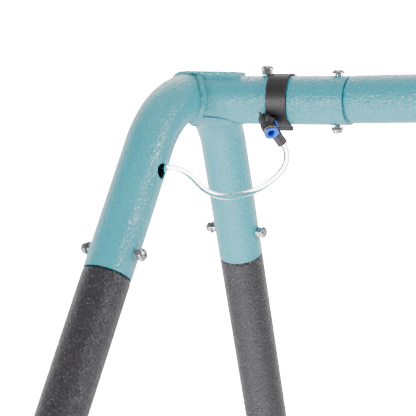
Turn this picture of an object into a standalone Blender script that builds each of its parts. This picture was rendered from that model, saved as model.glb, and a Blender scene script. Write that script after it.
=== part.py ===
"""Sling hammock on a tubular A-frame stand, with a misting line at one end.

Metres, +Z up. X runs along the top beam, Y from the front legs to the rear legs. The origin is on
the ground under the middle of the beam. The stand is the same at both ends, except that the misting
line is on the left (-X) end only.
"""

import math

import bpy
import bmesh
from mathutils import Matrix, Vector

LEFT, RIGHT = -1, 1
FRONT, REAR = -1, 1
GAP = 0.0003  # between pieces that touch

# Stand
APEX_X = 1.100  # from the middle of the beam to the plane of the bent tube
APEX_Z = 1.750
TUBE_R = 0.025
WALL = 0.0015
LEAN = math.radians(27.25)  # each leg from upright, within its A-frame
SPLAY = math.radians(5.2)  # each A-frame from upright, feet outward
BEND_R = 0.0925
BEND_FLAT = 0.002  # half of the straight stretch at the crown
CROWN = 0.0026  # the bent tube's centreline over the stub's
BEND_STEP = math.radians(9)
COLLAR = 0.141  # straight tube from the bend to the leg joint
PLUG = 0.075  # how far a swaged leg reaches into the bracket
STUB_LENGTH = 0.1803
STUB_RISE = 0.0007
STUB_DROOP = math.radians(1.1)
STUB_BORE_FROM = 0.034
BEAM_R = 0.0242
BEAM_DROP = 0.0017  # the beam's centreline under the apex
BEAM_PLUG_R = 0.0216
BEAM_PLUG = 0.106
CENTRE_PLUG = 0.070
SHOULDER = 0.005
SIDES = 16

# Fasteners
SHANK_R = 0.003
HOLE_R = 0.0034
LOOSE_HOLE_R = 0.0038
HEAD_R = 0.0069
HEAD_H = 0.0058
NUT_H = 0.0085
STUB_BOLTS = (0.0878, 0.1665)
STUB_STANDS = (0.0044, 0.0)  # how far each head stands off the stub
LEG_BOLTS = {FRONT: 0.1165, REAR: 0.1105}
LEG_HEAD_STAND = 0.0048  # the saddle washer under a leg bolt's head
LEG_NUT_STAND = 0.0050

# Cross brace and feet
BRACE_Z = 0.520
BRACE_R = 0.0125
BRACE_SET_IN = 0.0155
FOOT_R = 0.0295
FOOT_UP = 0.055
LEG_END_Z = 0.019

# Hammock
HOOK_X = 0.800
EYE_Z = 1.699
EYE_R = 0.014
EYE_ROD = 0.004
LINK_ROD = 0.0035
LINK_R = 0.0135
LINK_STRAIGHT = 0.036
GATE_GAP = 0.0017
RING_R = 0.021
RING_ROD = 0.004
BAR_X = 0.440
BAR_Z = 1.000
BAR_R = 0.016
BAR_HALF = 0.430
ROPE_R = 0.004
ROPE_Y = 0.405
CLOTH_HALF = 0.375
CLOTH_THICK = 0.003
CLOTH_SAG = 0.400
SLEEVE_WALL = 0.003

# Misting line, in millimetres from the left apex
CLIP_X = (0.0984, 0.1205)
CLIP_WALL = 0.0022
CLIP_BOW = 0.0035  # how far its top and bottom spring back towards the apex
PORT = Vector((108.5, -34.0, -34.9))
PORT_AXIS = Vector((0.545, -0.543, -0.639))
SIDE_PORT = Vector((109.3, -24.7, -25.5))
SIDE_AXIS = Vector((0.829, 0.447, 0.325))
COLLET_R = 0.0051
SIDE_COLLET_SCALE = 0.52
STEM = (Vector((105.3, -21.0, -32.9)), Vector((113.9, -16.4, -46.9)))
STEM_R = 0.0056
HOSE_R = 0.003175
LEG_HOLE = 0.026  # down the front leg from the bend
LEG_HOLE_R = 0.008
HOSE_ACROSS = -0.006  # the hose's place inside the leg, clear of the leg's bolts
HOSE_BESIDE = 0.011
HOSE_BEND = 0.026
INLET = 1.480  # down the front leg from the bend
HOSE_ROUTE = (
    (106.8, -20.2, -35.3),
    (110.3, -18.35, -41.0),
    (114.1, -16.35, -47.2),
    (116.9, -16.1, -54.5),
    (118.0, -18.3, -62.0),
    (116.7, -22.6, -69.4),
    (113.2, -27.6, -76.5),
    (107.8, -33.3, -83.0),
    (101.4, -39.6, -88.6),
    (94.2, -46.0, -92.9),
    (85.6, -53.5, -96.1),
    (76.5, -61.0, -98.0),
    (67.4, -68.5, -97.2),
    (59.8, -75.9, -93.6),
    (54.0, -82.6, -87.4),
    (49.5, -88.3, -80.4),
    (44.4, -92.5, -74.4),
    (37.8, -95.0, -70.6),
    (29.9, -96.0, -68.9),
    (21.8, -96.1, -68.6),
)


def clear_scene():
    for obj in list(bpy.data.objects):
        bpy.data.objects.remove(obj, do_unlink=True)


def new_collection(name):
    made = bpy.data.collections.new(name)
    bpy.context.scene.collection.children.link(made)
    return made


def finish(name, colour, roughness, metallic=0.0):
    made = bpy.data.materials.new(name)
    made.use_nodes = True
    shader = made.node_tree.nodes["Principled BSDF"]
    shader.inputs["Base Color"].default_value = (*colour, 1.0)
    shader.inputs["Roughness"].default_value = roughness
    shader.inputs["Metallic"].default_value = metallic
    return made


clear_scene()
PARTS = new_collection("hammock_on_stand")
CUTTERS = new_collection("cutters")
TEAL = finish("teal_powder_coat", (0.18, 0.42, 0.47), 0.45)
CHARCOAL = finish("charcoal_powder_coat", (0.09, 0.09, 0.10), 0.5)
ZINC = finish("zinc", (0.75, 0.76, 0.78), 0.25, 1.0)
BLACK = finish("black_plastic", (0.03, 0.03, 0.032), 0.45)
BLUE = finish("blue_plastic", (0.01, 0.15, 0.80), 0.25)
BRASS = finish("brass", (0.75, 0.55, 0.25), 0.3, 1.0)
RUBBER = finish("rubber", (0.05, 0.05, 0.05), 0.8)
CLEAR = finish("clear_tube", (0.85, 0.90, 0.90), 0.1)
WOOD = finish("hardwood", (0.42, 0.26, 0.14), 0.5)
ROPE = finish("rope", (0.75, 0.71, 0.62), 0.9)
CLOTH = finish("woven_fabric", (0.80, 0.79, 0.74), 0.95)


# Placing and shaping


def add(obj, material, cutter=False):
    (CUTTERS if cutter else PARTS).objects.link(obj)
    obj.hide_render = cutter
    if cutter:
        obj.display_type = "WIRE"
    else:
        obj.data.materials.append(material)
    return obj


def along(point, direction):
    """The matrix that puts the local origin at point and local Z along direction."""
    turn = Vector(direction).to_track_quat("Z", "Y").to_matrix().to_4x4()
    return Matrix.Translation(point) @ turn


def turned(name, profile, place, material=None, steps=SIDES, cutter=False):
    """Turns (radius, height) points about local Z. A profile off the axis is closed on itself."""
    joins = [(i, i + 1) for i in range(len(profile) - 1)]
    if min(radius for radius, _ in profile) > 0:
        joins.append((len(profile) - 1, 0))
    mesh = bpy.data.meshes.new(name)
    mesh.from_pydata([(radius, 0, height) for radius, height in profile], joins, [])
    obj = add(bpy.data.objects.new(name, mesh), material, cutter)
    obj.matrix_world = place
    screw = obj.modifiers.new("Screw", "SCREW")
    screw.steps = screw.render_steps = steps
    screw.use_merge_vertices = True
    screw.merge_threshold = 0.0001
    return obj


def rod_profile(radius, low, high):
    return [(0, high), (radius, high), (radius, low), (0, low)]


def sleeve_profile(outer, inner, low, high):
    return [(outer, high), (outer, low), (inner, low), (inner, high)]


def tube(name, points, radius, material=None, resolution=2, closed=False):
    curve = bpy.data.curves.new(name, "CURVE")
    curve.dimensions = "3D"
    curve.bevel_depth = radius
    curve.bevel_resolution = resolution
    curve.use_fill_caps = not closed
    spline = curve.splines.new("POLY")
    spline.points.add(len(points) - 1)
    spline.use_cyclic_u = closed
    for place, point in zip(spline.points, points):
        place.co = (*point, 1.0)
    return add(bpy.data.objects.new(name, curve), material)


def plate(name, outline, thickness, place, material=None):
    """A flat outline in local XY, extruded both ways along local Z."""
    curve = bpy.data.curves.new(name, "CURVE")
    curve.dimensions = "2D"
    curve.fill_mode = "BOTH"
    curve.extrude = thickness / 2
    spline = curve.splines.new("POLY")
    spline.points.add(len(outline) - 1)
    spline.use_cyclic_u = True
    for corner, (x, y) in zip(spline.points, outline):
        corner.co = (x, y, 0.0, 1.0)
    obj = add(bpy.data.objects.new(name, curve), material)
    obj.matrix_world = place
    return obj


def as_mesh(curve, cutter=False):
    """The curve object as a mesh object with its caps welded."""
    bpy.context.view_layer.update()
    graph = bpy.context.evaluated_depsgraph_get()
    mesh = bpy.data.meshes.new_from_object(curve.evaluated_get(graph))
    shape = bmesh.new()
    shape.from_mesh(mesh)
    bmesh.ops.remove_doubles(shape, verts=shape.verts, dist=1e-6)
    bmesh.ops.recalc_face_normals(shape, faces=shape.faces)
    shape.to_mesh(mesh)
    shape.free()
    name, place = curve.name, curve.matrix_world.copy()
    material = curve.data.materials[0] if curve.data.materials else None
    bpy.data.objects.remove(curve, do_unlink=True)
    mesh.materials.clear()
    obj = add(bpy.data.objects.new(name, mesh), material, cutter)
    obj.matrix_world = place
    return obj


def combine(obj, operation, *others):
    for other in others:
        step = obj.modifiers.new(f"{operation} {other.name}", "BOOLEAN")
        step.operation = operation
        step.object = other


def drill(obj, point, direction, radius, low, high, steps=10):
    """Cuts a round hole. It is turned a little, so that none of its corners meets an edge of obj."""
    name = f"{obj.name}_drill_{len(obj.modifiers)}"
    place = along(point, direction) @ Matrix.Rotation(0.11, 4, "Z")
    hole = turned(name, rod_profile(radius, low, high), place, None, steps, True)
    combine(obj, "DIFFERENCE", hole)


def smooth(route, step):
    """Points about step apart on a smooth curve through the route's points."""
    points = [Vector(p) for p in route]
    points = [2 * points[0] - points[1], *points, 2 * points[-1] - points[-2]]
    made = []
    for a, b, c, d in zip(points, points[1:], points[2:], points[3:]):
        count = max(1, round((c - b).length / step))
        for k in range(count):
            t = k / count
            first = (2 * b + (c - a) * t + (2 * a - 5 * b + 4 * c - d) * t * t) / 2
            made.append(first + (3 * b - a - 3 * c + d) * t**3 / 2)
    return [*made, points[-2]]


def side_name(end):
    return "left" if end == LEFT else "right"


def apex_point(end, x, y, z):
    """A point given from an apex, with x towards the middle of the stand."""
    return Vector((end * APEX_X - end * x, y, APEX_Z + z))


def leg_point(end, row, down):
    """The centreline of a leg, that far below the end of the bend."""
    turn = math.pi / 2 - LEAN
    reach = BEND_FLAT + BEND_R * math.sin(turn) + down * math.sin(LEAN)
    height = CROWN - BEND_R + BEND_R * math.cos(turn) - down * math.cos(LEAN)
    return apex_point(end, height * math.sin(SPLAY), row * reach, height * math.cos(SPLAY))


def leg_up(end, row):
    return (leg_point(end, row, 0) - leg_point(end, row, 1)).normalized()


def leg_side(end, row):
    """The direction across a leg, square to it, that points most nearly to the middle."""
    up = leg_up(end, row)
    inward = Vector((-end, 0, 0))
    return (inward - up * up.dot(inward)).normalized()


def leg_down_to(end, row, height):
    """How far below the bend a leg's centreline reaches that height."""
    top, lower = leg_point(end, row, 0), leg_point(end, row, 1)
    return (top.z - height) / (top.z - lower.z)


# Stand


def bend_route(end, overrun):
    """The bent tube's centreline, from the front leg joint over the crown to the rear one."""
    turn = math.pi / 2 - LEAN
    count = round(turn / BEND_STEP)
    half = []
    for k in range(count + 1):
        a = turn * k / count
        half.append((BEND_FLAT + BEND_R * math.sin(a), CROWN - BEND_R + BEND_R * math.cos(a)))
    rear = [apex_point(end, h * math.sin(SPLAY), y, h * math.cos(SPLAY)) for y, h in half]
    front = [Vector((p.x, -p.y, p.z)) for p in rear]
    last = leg_point(end, REAR, COLLAR + overrun)
    first = leg_point(end, FRONT, COLLAR + overrun)
    return [first, *reversed(front), *rear, last]


def stub_axis(end):
    return Vector((-end * math.cos(STUB_DROOP), 0, -math.sin(STUB_DROOP)))


def stub_point(end, reach):
    return apex_point(end, 0, 0, STUB_RISE) + stub_axis(end) * reach


def saddle_outline(end):
    """The strap over the crown and the stub, seen from the front."""
    top = [(-0.017, 0.0250), (-0.012, 0.0288), (-0.007, 0.0305), (0.002, 0.0308), (0.0585, 0.0285)]
    under = [(0.0585, 0.0215), (0.010, 0.0200), (-0.013, 0.0175)]
    points = [(-end * x, z) for x, z in top + under]
    return points if end == LEFT else points[::-1]


def make_bracket(end):
    side = side_name(end)
    body = as_mesh(tube(f"apex_bracket_{side}", bend_route(end, 0), TUBE_R, TEAL, 6))
    stub = turned(
        f"stub_{side}",
        rod_profile(TUBE_R, 0.004, STUB_LENGTH),
        along(stub_point(end, 0), stub_axis(end)),
        cutter=True,
    )
    facing = apex_point(end, 0, 0, 0)
    upright = Matrix.Translation(facing) @ Matrix.Rotation(math.pi / 2, 4, "X")
    saddle = as_mesh(plate(f"saddle_{side}", saddle_outline(end), 0.022, upright), cutter=True)
    bore = as_mesh(tube(f"bend_bore_{side}", bend_route(end, 0.01), TUBE_R - WALL, None, 6), True)
    stub_bore = turned(
        f"stub_bore_{side}",
        rod_profile(TUBE_R - WALL, STUB_BORE_FROM, STUB_LENGTH + 0.01),
        along(stub_point(end, 0), stub_axis(end)),
        cutter=True,
    )
    combine(body, "UNION", stub, saddle)
    combine(body, "DIFFERENCE", bore, stub_bore)
    for reach in STUB_BOLTS:
        drill(body, stub_point(end, reach), stub_square(end), HOLE_R, -0.04, 0.04)
    for row in (FRONT, REAR):
        point = leg_point(end, row, LEG_BOLTS[row])
        drill(body, point, leg_side(end, row), HOLE_R, -0.04, 0.04)
    if end == LEFT:
        point = leg_point(end, FRONT, LEG_HOLE)
        drill(body, point, leg_side(end, FRONT), LEG_HOLE_R, 0.005, 0.04, 20)


def stub_square(end):
    """Upwards, square to the stub."""
    axis = stub_axis(end)
    return (Vector((0, 0, 1)) - axis * axis.z).normalized()


def make_leg(end, row):
    """A lower leg. Its swaged top fills the bracket's collar and the shoulder closes the joint."""
    name = f"leg_{'front' if row == FRONT else 'rear'}_{side_name(end)}"
    bottom = leg_down_to(end, row, LEG_END_Z)
    length = bottom - COLLAR
    plug_r = TUBE_R - WALL - 0.0007
    profile = [
        (plug_r, length + PLUG),
        (plug_r, length - GAP),
        (TUBE_R - 0.0006, length - 0.0022),
        (TUBE_R, length - SHOULDER),
        (TUBE_R, 0),
        (TUBE_R - WALL, 0),
        (TUBE_R - WALL, length - SHOULDER - 0.002),
        (plug_r - WALL, length - 0.002),
        (plug_r - WALL, length + PLUG),
    ]
    place = along(leg_point(end, row, bottom), leg_up(end, row))
    leg = turned(name, profile, place, CHARCOAL)
    drill(leg, leg_point(end, row, LEG_BOLTS[row]), leg_side(end, row), HOLE_R, -0.04, 0.04)
    drill(leg, brace_end(end, row), Vector((1, 0, 0)), HOLE_R, -0.04, 0.04)
    if end == LEFT and row == FRONT:
        point = leg_point(end, row, INLET)
        drill(leg, point, leg_side(end, row), LEG_HOLE_R, 0.005, 0.04, 16)


def brace_end(end, row):
    """Where the brace's bolt crosses the leg's centreline."""
    return leg_point(end, row, leg_down_to(end, row, BRACE_Z))


def make_foot(end, row):
    name = f"foot_cap_{'front' if row == FRONT else 'rear'}_{side_name(end)}"
    place = along(leg_point(end, row, leg_down_to(end, row, LEG_END_Z)), leg_up(end, row))
    inner = TUBE_R + 0.0008
    profile = [
        (0, FOOT_UP),
        (inner + 0.0012, FOOT_UP),
        (FOOT_R, FOOT_UP - 0.003),
        (FOOT_R, -0.040),
        (0, -0.040),
    ]
    foot = turned(name, profile, place, RUBBER)
    hollow = rod_profile(inner, -GAP, FOOT_UP + 0.02)
    socket = turned(f"{name}_socket", hollow, place, cutter=True)
    mesh = bpy.data.meshes.new(f"{name}_ground")
    shape = bmesh.new()
    bmesh.ops.create_cube(shape, size=0.3)
    shape.to_mesh(mesh)
    shape.free()
    ground = add(bpy.data.objects.new(mesh.name, mesh), None, True)
    ground.location = (place.translation.x, place.translation.y, -0.15)
    combine(foot, "DIFFERENCE", socket, ground)


def beam_point(x, z=0.0):
    return Vector((x, 0, APEX_Z - BEAM_DROP + z))


def make_beam():
    """Two halves. Each outer end is swaged into a stub, and the right half plugs into the left."""
    joint = APEX_X - STUB_LENGTH * math.cos(STUB_DROOP) - 0.0008
    inner = BEAM_R - WALL
    centre_r = inner - 0.0006
    outer_end = [
        (BEAM_PLUG_R, joint + BEAM_PLUG),
        (BEAM_PLUG_R, joint + 0.0004),
        (BEAM_R - 0.0008, joint - 0.0012),
        (BEAM_R, joint - SHOULDER),
    ]
    inner_end = [
        (inner, joint - SHOULDER - 0.002),
        (BEAM_PLUG_R - WALL, joint - 0.002),
        (BEAM_PLUG_R - WALL, joint + BEAM_PLUG),
    ]
    socket = [(BEAM_R, 0.0), (inner, 0.0)]
    plug = [
        (BEAM_R, SHOULDER),
        (BEAM_R - 0.0008, 0.0018),
        (centre_r, GAP),
        (centre_r, -CENTRE_PLUG),
        (centre_r - WALL, -CENTRE_PLUG),
        (centre_r - WALL, 0.004),
        (inner, 0.008),
    ]
    for end, middle in ((LEFT, socket), (RIGHT, plug)):
        place = along(beam_point(0), Vector((end, 0, 0)))
        half = turned(f"beam_half_{side_name(end)}", outer_end + middle + inner_end, place, TEAL)
        for reach in STUB_BOLTS:
            point = stub_point(end, reach)
            drill(half, point, stub_square(end), LOOSE_HOLE_R, -0.04, 0.04)
        drill(half, beam_point(-CENTRE_PLUG / 2), Vector((0, 0, 1)), HOLE_R, -0.04, 0.04)
        drill(half, beam_point(end * HOOK_X), Vector((0, 0, 1)), EYE_ROD + 0.0005, -0.04, 0.04)


def make_bolt(name, point, axis, high, low, nut=True, tail=0.004):
    """A button-head bolt and its cap nut. high and low are the faces they bear on."""
    profile = [
        (0, high + HEAD_H),
        (HEAD_R * 0.55, high + HEAD_H),
        (HEAD_R * 0.95, high + HEAD_H * 0.45),
        (HEAD_R, high + GAP),
        (SHANK_R, high + GAP),
        (SHANK_R, low - tail),
        (0, low - tail),
    ]
    turned(name, profile, along(point, axis), ZINC, 8)
    if not nut:
        return
    base = low - GAP
    bore = SHANK_R + GAP
    cap = [
        (bore, base),
        (HEAD_R * 1.05, base),
        (HEAD_R * 1.05, base - 0.0015),
        (HEAD_R * 0.85, base - NUT_H * 0.75),
        (HEAD_R * 0.4, base - NUT_H),
        (0, base - NUT_H),
    ]
    blind = [(0, low - tail - 0.001), (bore, low - tail - 0.001), (bore, base)]
    turned(f"{name}_nut", blind[:2] + cap, along(point, axis), ZINC, 8)


def make_fasteners():
    for end in (LEFT, RIGHT):
        side = side_name(end)
        for reach, where, stand in zip(STUB_BOLTS, ("inner", "outer"), STUB_STANDS):
            name = f"beam_bolt_{where}_{side}"
            point = stub_point(end, reach)
            make_bolt(name, point, stub_square(end), TUBE_R + stand, -TUBE_R)
        for row, place in ((FRONT, "front"), (REAR, "rear")):
            point = leg_point(end, row, LEG_BOLTS[row])
            high, low = TUBE_R + LEG_HEAD_STAND, -TUBE_R - LEG_NUT_STAND
            make_bolt(f"leg_bolt_{place}_{side}", point, leg_side(end, row), high, low)
            inward = Vector((-end, 0, 0))
            high = BRACE_SET_IN + 2 * BRACE_R + 0.0115
            point = brace_end(end, row)
            make_bolt(f"brace_bolt_{place}_{side}", point, inward, high, -TUBE_R - 0.002, nut=False)
    make_bolt("beam_centre_bolt", beam_point(-CENTRE_PLUG / 2), Vector((0, 0, 1)), BEAM_R, -BEAM_R)


def make_brace(end):
    """A round tube between the legs, with square ends that the bolts clamp to the legs."""
    side = side_name(end)
    front, rear = brace_end(end, FRONT), brace_end(end, REAR)
    set_in = Vector((-end * (BRACE_SET_IN + 0.0115 + BRACE_R), 0, 0))
    length = rear.y - front.y
    profile = rod_profile(BRACE_R, -length / 2 + 0.03, length / 2 - 0.03)
    place = along((front + rear) / 2 + set_in, Vector((0, 1, 0)))
    brace = turned(f"cross_brace_{side}", profile, place, CHARCOAL, 12)
    for row, centre in ((FRONT, front), (REAR, rear)):
        half = BRACE_R + GAP
        outline = [(-half, -half), (half, -half), (half, half), (-half, half)]
        spot = centre + set_in - Vector((0, row * 0.018, 0))
        stand = Matrix.Translation(spot) @ Matrix.Rotation(math.pi / 2, 4, "X")
        tab = as_mesh(plate(f"tab_{row}_{side}", outline, 0.066, stand), cutter=True)
        combine(brace, "UNION", tab)
    for row, centre in ((FRONT, front), (REAR, rear)):
        drill(brace, centre, Vector((1, 0, 0)), HOLE_R, -0.08, 0.08)


# Hammock


def circle(centre, radius, across, up, count):
    return [
        centre
        + across * radius * math.cos(2 * math.pi * k / count)
        + up * radius * math.sin(2 * math.pi * k / count)
        for k in range(count)
    ]


def make_eye_bolt(end):
    side = side_name(end)
    centre = Vector((end * HOOK_X, 0, EYE_Z))
    y, z = Vector((0, 1, 0)), Vector((0, 0, 1))
    points = circle(centre, EYE_R, y, z, 16)
    eye = as_mesh(tube(f"beam_eye_{side}", points, EYE_ROD, ZINC, 2, closed=True))
    beam_z = beam_point(0).z
    low, high = EYE_Z + EYE_R + 0.0007, beam_z + BEAM_R + 0.012
    under = beam_z - BEAM_R - GAP
    profile = [
        (0, high),
        (EYE_ROD, high),
        (EYE_ROD, under),
        (0.009, under),
        (0.009, under - 0.004),
        (EYE_ROD * 1.1, under - 0.005),
        (EYE_ROD * 1.1, low),
        (0, low),
    ]
    place = Matrix.Translation((centre.x, 0, 0)) @ Matrix.Rotation(0.2, 4, "Z")
    shank = turned(f"eye_shank_{side}", profile, place, None, 10, True)
    combine(eye, "UNION", shank)
    over = beam_z + BEAM_R + GAP
    turned(
        f"beam_eye_nut_{side}",
        sleeve_profile(0.0080, (EYE_ROD + GAP) / math.cos(math.pi / 12), over, over + 0.007),
        Matrix.Translation((centre.x, 0, 0)),
        ZINC,
        12,
    )


def pull(end):
    """The direction in which the hammock pulls on its hook."""
    knot = Vector((end * BAR_X, 0, BAR_Z))
    hook = Vector((end * HOOK_X, 0, EYE_Z))
    return (knot - hook).normalized()


def link_centre(end):
    """The centre of the snap link's upper arc, with its rod resting in the eye."""
    rod = EYE_Z - EYE_R + EYE_ROD + GAP + LINK_ROD
    return Vector((end * HOOK_X, 0, rod - LINK_R))


def make_link(end):
    """A snap link: a bent rod open on one long side, and the gate that closes it."""
    side = side_name(end)
    down, top = pull(end), link_centre(end)
    across = Vector((0, 1, 0)).cross(down) * end
    bottom = top + down * LINK_STRAIGHT

    def arc(centre, sign, start, stop):
        for k in range(start, stop + 1):
            a = math.pi * k / 6
            yield centre + across * LINK_R * math.cos(a) - down * sign * LINK_R * math.sin(a)

    gate_top = top + across * LINK_R + down * 0.004
    gate_bottom = bottom + across * LINK_R - down * 0.004
    points = [
        gate_top,
        *arc(top, 1, 0, 6),
        *[bottom - across * LINK_R - down * 0.0001],
        *reversed(list(arc(bottom, -1, 0, 5))),
        gate_bottom,
    ]
    tube(f"snap_link_{side}", points, LINK_ROD, ZINC, 2)
    lean = (gate_bottom - gate_top).normalized()
    ends = [gate_top + lean * GATE_GAP, gate_bottom - lean * GATE_GAP]
    tube(f"snap_gate_{side}", ends, LINK_ROD * 0.85, ZINC, 2)


def ring_centre(end):
    """The clew ring hangs with its rod in the link's lower arc."""
    bottom = link_centre(end) + pull(end) * LINK_STRAIGHT
    inner = LINK_R - LINK_ROD - GAP - RING_ROD
    return bottom + pull(end) * (inner + RING_R)


def make_ring(end):
    across = Vector((0, 1, 0))
    points = circle(ring_centre(end), RING_R, across, pull(end), 16)
    tube(f"clew_ring_{side_name(end)}", points, RING_ROD, ZINC, 2, closed=True)


def bar_centre(end):
    return Vector((end * BAR_X, 0, BAR_Z))


def rope_hole(end, y):
    return bar_centre(end) + Vector((0, y, 0))


def make_bar(end):
    tip = 0.006
    profile = [
        (0, BAR_HALF),
        (BAR_R - tip, BAR_HALF),
        (BAR_R, BAR_HALF - tip),
        (BAR_R, -BAR_HALF + tip),
        (BAR_R - tip, -BAR_HALF),
        (0, -BAR_HALF),
    ]
    place = along(bar_centre(end), Vector((0, 1, 0)))
    bar = turned(f"spreader_bar_{side_name(end)}", profile, place, WOOD, 16)
    for y in (-ROPE_Y, ROPE_Y):
        drill(bar, rope_hole(end, y), -pull(end), ROPE_R + 0.0008, -0.03, 0.03)


def rope_leg(end, row):
    """Half of a bridle rope, from its knot under the bar to the ring that it loops over."""
    down = pull(end)
    normal = Vector((0, 1, 0)).cross(down) * row
    low_rod = ring_centre(end) + down * RING_R
    turn_r = RING_ROD + ROPE_R + 0.0012

    def by_ring(out, aside, below):
        return low_rod + normal * out + Vector((0, row * aside, 0)) + down * below

    hole = rope_hole(end, row * ROPE_Y)
    over_bar = hole - down * (BAR_R + 0.010)
    beside = by_ring(turn_r * 0.9, 0.0110, 0.0140)
    points = [hole + down * (BAR_R + 0.012), hole + down * BAR_R, over_bar]
    points += [over_bar.lerp(beside, share) for share in (0.06, 0.3, 0.55, 0.8, 0.95)]
    points += [beside, by_ring(turn_r, 0.0040, 0.0030)]
    points += [by_ring(turn_r * 0.707, 0.0010, -turn_r * 0.707)]
    return points


def make_rope(end):
    """One rope: from a knot under the bar, over the ring and down to the other knot."""
    down = pull(end)
    crown = ring_centre(end) + down * (RING_R - RING_ROD - ROPE_R - 0.0012)
    points = [*rope_leg(end, FRONT), crown, *reversed(rope_leg(end, REAR))]
    rope = as_mesh(tube(f"bridle_rope_{side_name(end)}", points, ROPE_R, ROPE, 2))
    for y in (-ROPE_Y, ROPE_Y):
        spot = rope_hole(end, y) + down * (BAR_R + 0.0085)
        mesh = bpy.data.meshes.new(f"knot_{side_name(end)}")
        shape = bmesh.new()
        bmesh.ops.create_uvsphere(shape, u_segments=10, v_segments=6, radius=0.0078)
        shape.to_mesh(mesh)
        shape.free()
        knot = add(bpy.data.objects.new(mesh.name, mesh), None, True)
        knot.location = spot
        combine(rope, "UNION", knot)


def make_cloth():
    """The sling: a strip that hangs in a parabola, with a sleeve round each bar."""
    inner = (BAR_R + GAP) / math.cos(math.pi / 16)
    outer = inner + SLEEVE_WALL
    low = BAR_Z - CLOTH_SAG

    def height(x):
        return low + CLOTH_SAG * (x / BAR_X) ** 2

    # The strip runs into each sleeve where its curve crosses the sleeve's outside.
    reach = BAR_X
    while math.hypot(reach - BAR_X, height(reach) - BAR_Z) < outer:
        reach -= 0.0001
    count = 18
    over, under = [], []
    for k in range(count + 1):
        x = reach * (2 * k / count - 1)
        slope = 2 * CLOTH_SAG * x / BAR_X**2
        normal = Vector((-slope, 1)).normalized() * CLOTH_THICK / 2
        over.append((x + normal.x, height(x) + normal.y))
        under.append((x - normal.x, height(x) - normal.y))
    start = math.atan2(under[-1][1] - BAR_Z, under[-1][0] - BAR_X)
    stop = math.atan2(over[-1][1] - BAR_Z, over[-1][0] - BAR_X) + 2 * math.pi
    round_bar = []
    for k in range(1, 16):
        a = start + (stop - start) * k / 16
        round_bar.append((BAR_X + outer * math.cos(a), BAR_Z + outer * math.sin(a)))
    left_bar = [(-x, z) for x, z in reversed(round_bar)]
    outline = [*under, *round_bar, *reversed(over), *left_bar]
    upright = Matrix.Rotation(math.pi / 2, 4, "X")
    cloth = plate("sling_fabric", outline, 2 * CLOTH_HALF, upright, CLOTH)
    for end in (LEFT, RIGHT):
        hole = cloth.data.splines.new("POLY")
        hole.points.add(15)
        hole.use_cyclic_u = True
        for k, corner in enumerate(hole.points):
            a = math.pi * (2 * k + 1) / 16
            x, z = end * BAR_X + inner * math.cos(a), BAR_Z + inner * math.sin(a)
            corner.co = (x, z, 0.0, 1.0)


# Misting line


def mist(point):
    """A point of the misting line, given in millimetres from the left apex."""
    return apex_point(LEFT, *(Vector(point) / 1000))


def make_clip():
    """A C-shaped clip that snaps round the stub. Its mouth, with turned-out lips, faces down and back."""
    centre = stub_point(LEFT, sum(CLIP_X) / 2)
    inner = (TUBE_R + GAP) / math.cos(math.pi / 40)
    outer = inner + CLIP_WALL
    start, stop = math.radians(-94), math.radians(-350)
    count = 26
    angles = [start + (stop - start) * k / count for k in range(count + 1)]
    lip_in, lip_out = 0.0035, 0.0010
    first = Vector((math.cos(start), math.sin(start)))
    last = Vector((math.cos(stop), math.sin(stop)))
    out_first = Vector((-first.y, first.x))
    out_last = Vector((last.y, -last.x))
    outside = [(outer * math.cos(a), outer * math.sin(a)) for a in angles]
    inside = [(inner * math.cos(a), inner * math.sin(a)) for a in reversed(angles)]
    lip_first = first * (outer + lip_in) + out_first * 0.006
    lip_last = last * (outer + lip_in) + out_last * 0.006
    outline = [
        *outside,
        tuple(lip_last),
        tuple(lip_last - last * 0.0016 + out_last * 0.0004),
        *inside,
        tuple(lip_first - first * 0.0016 + out_first * 0.0004),
        tuple(lip_first),
    ]
    axis = stub_axis(LEFT)
    square = stub_square(LEFT)
    # Local X is to the rear, local Y up and local Z along the stub.
    turn = Matrix((Vector((0, 1, 0)), square, axis)).transposed().to_4x4()
    place = Matrix.Translation(centre) @ turn
    clip = as_mesh(plate("mist_clip", outline, CLIP_X[1] - CLIP_X[0], place, BLACK))
    for corner in clip.data.vertices:
        corner.co.z -= CLIP_BOW * (corner.co.y / outer) ** 2
    return outer


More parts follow.
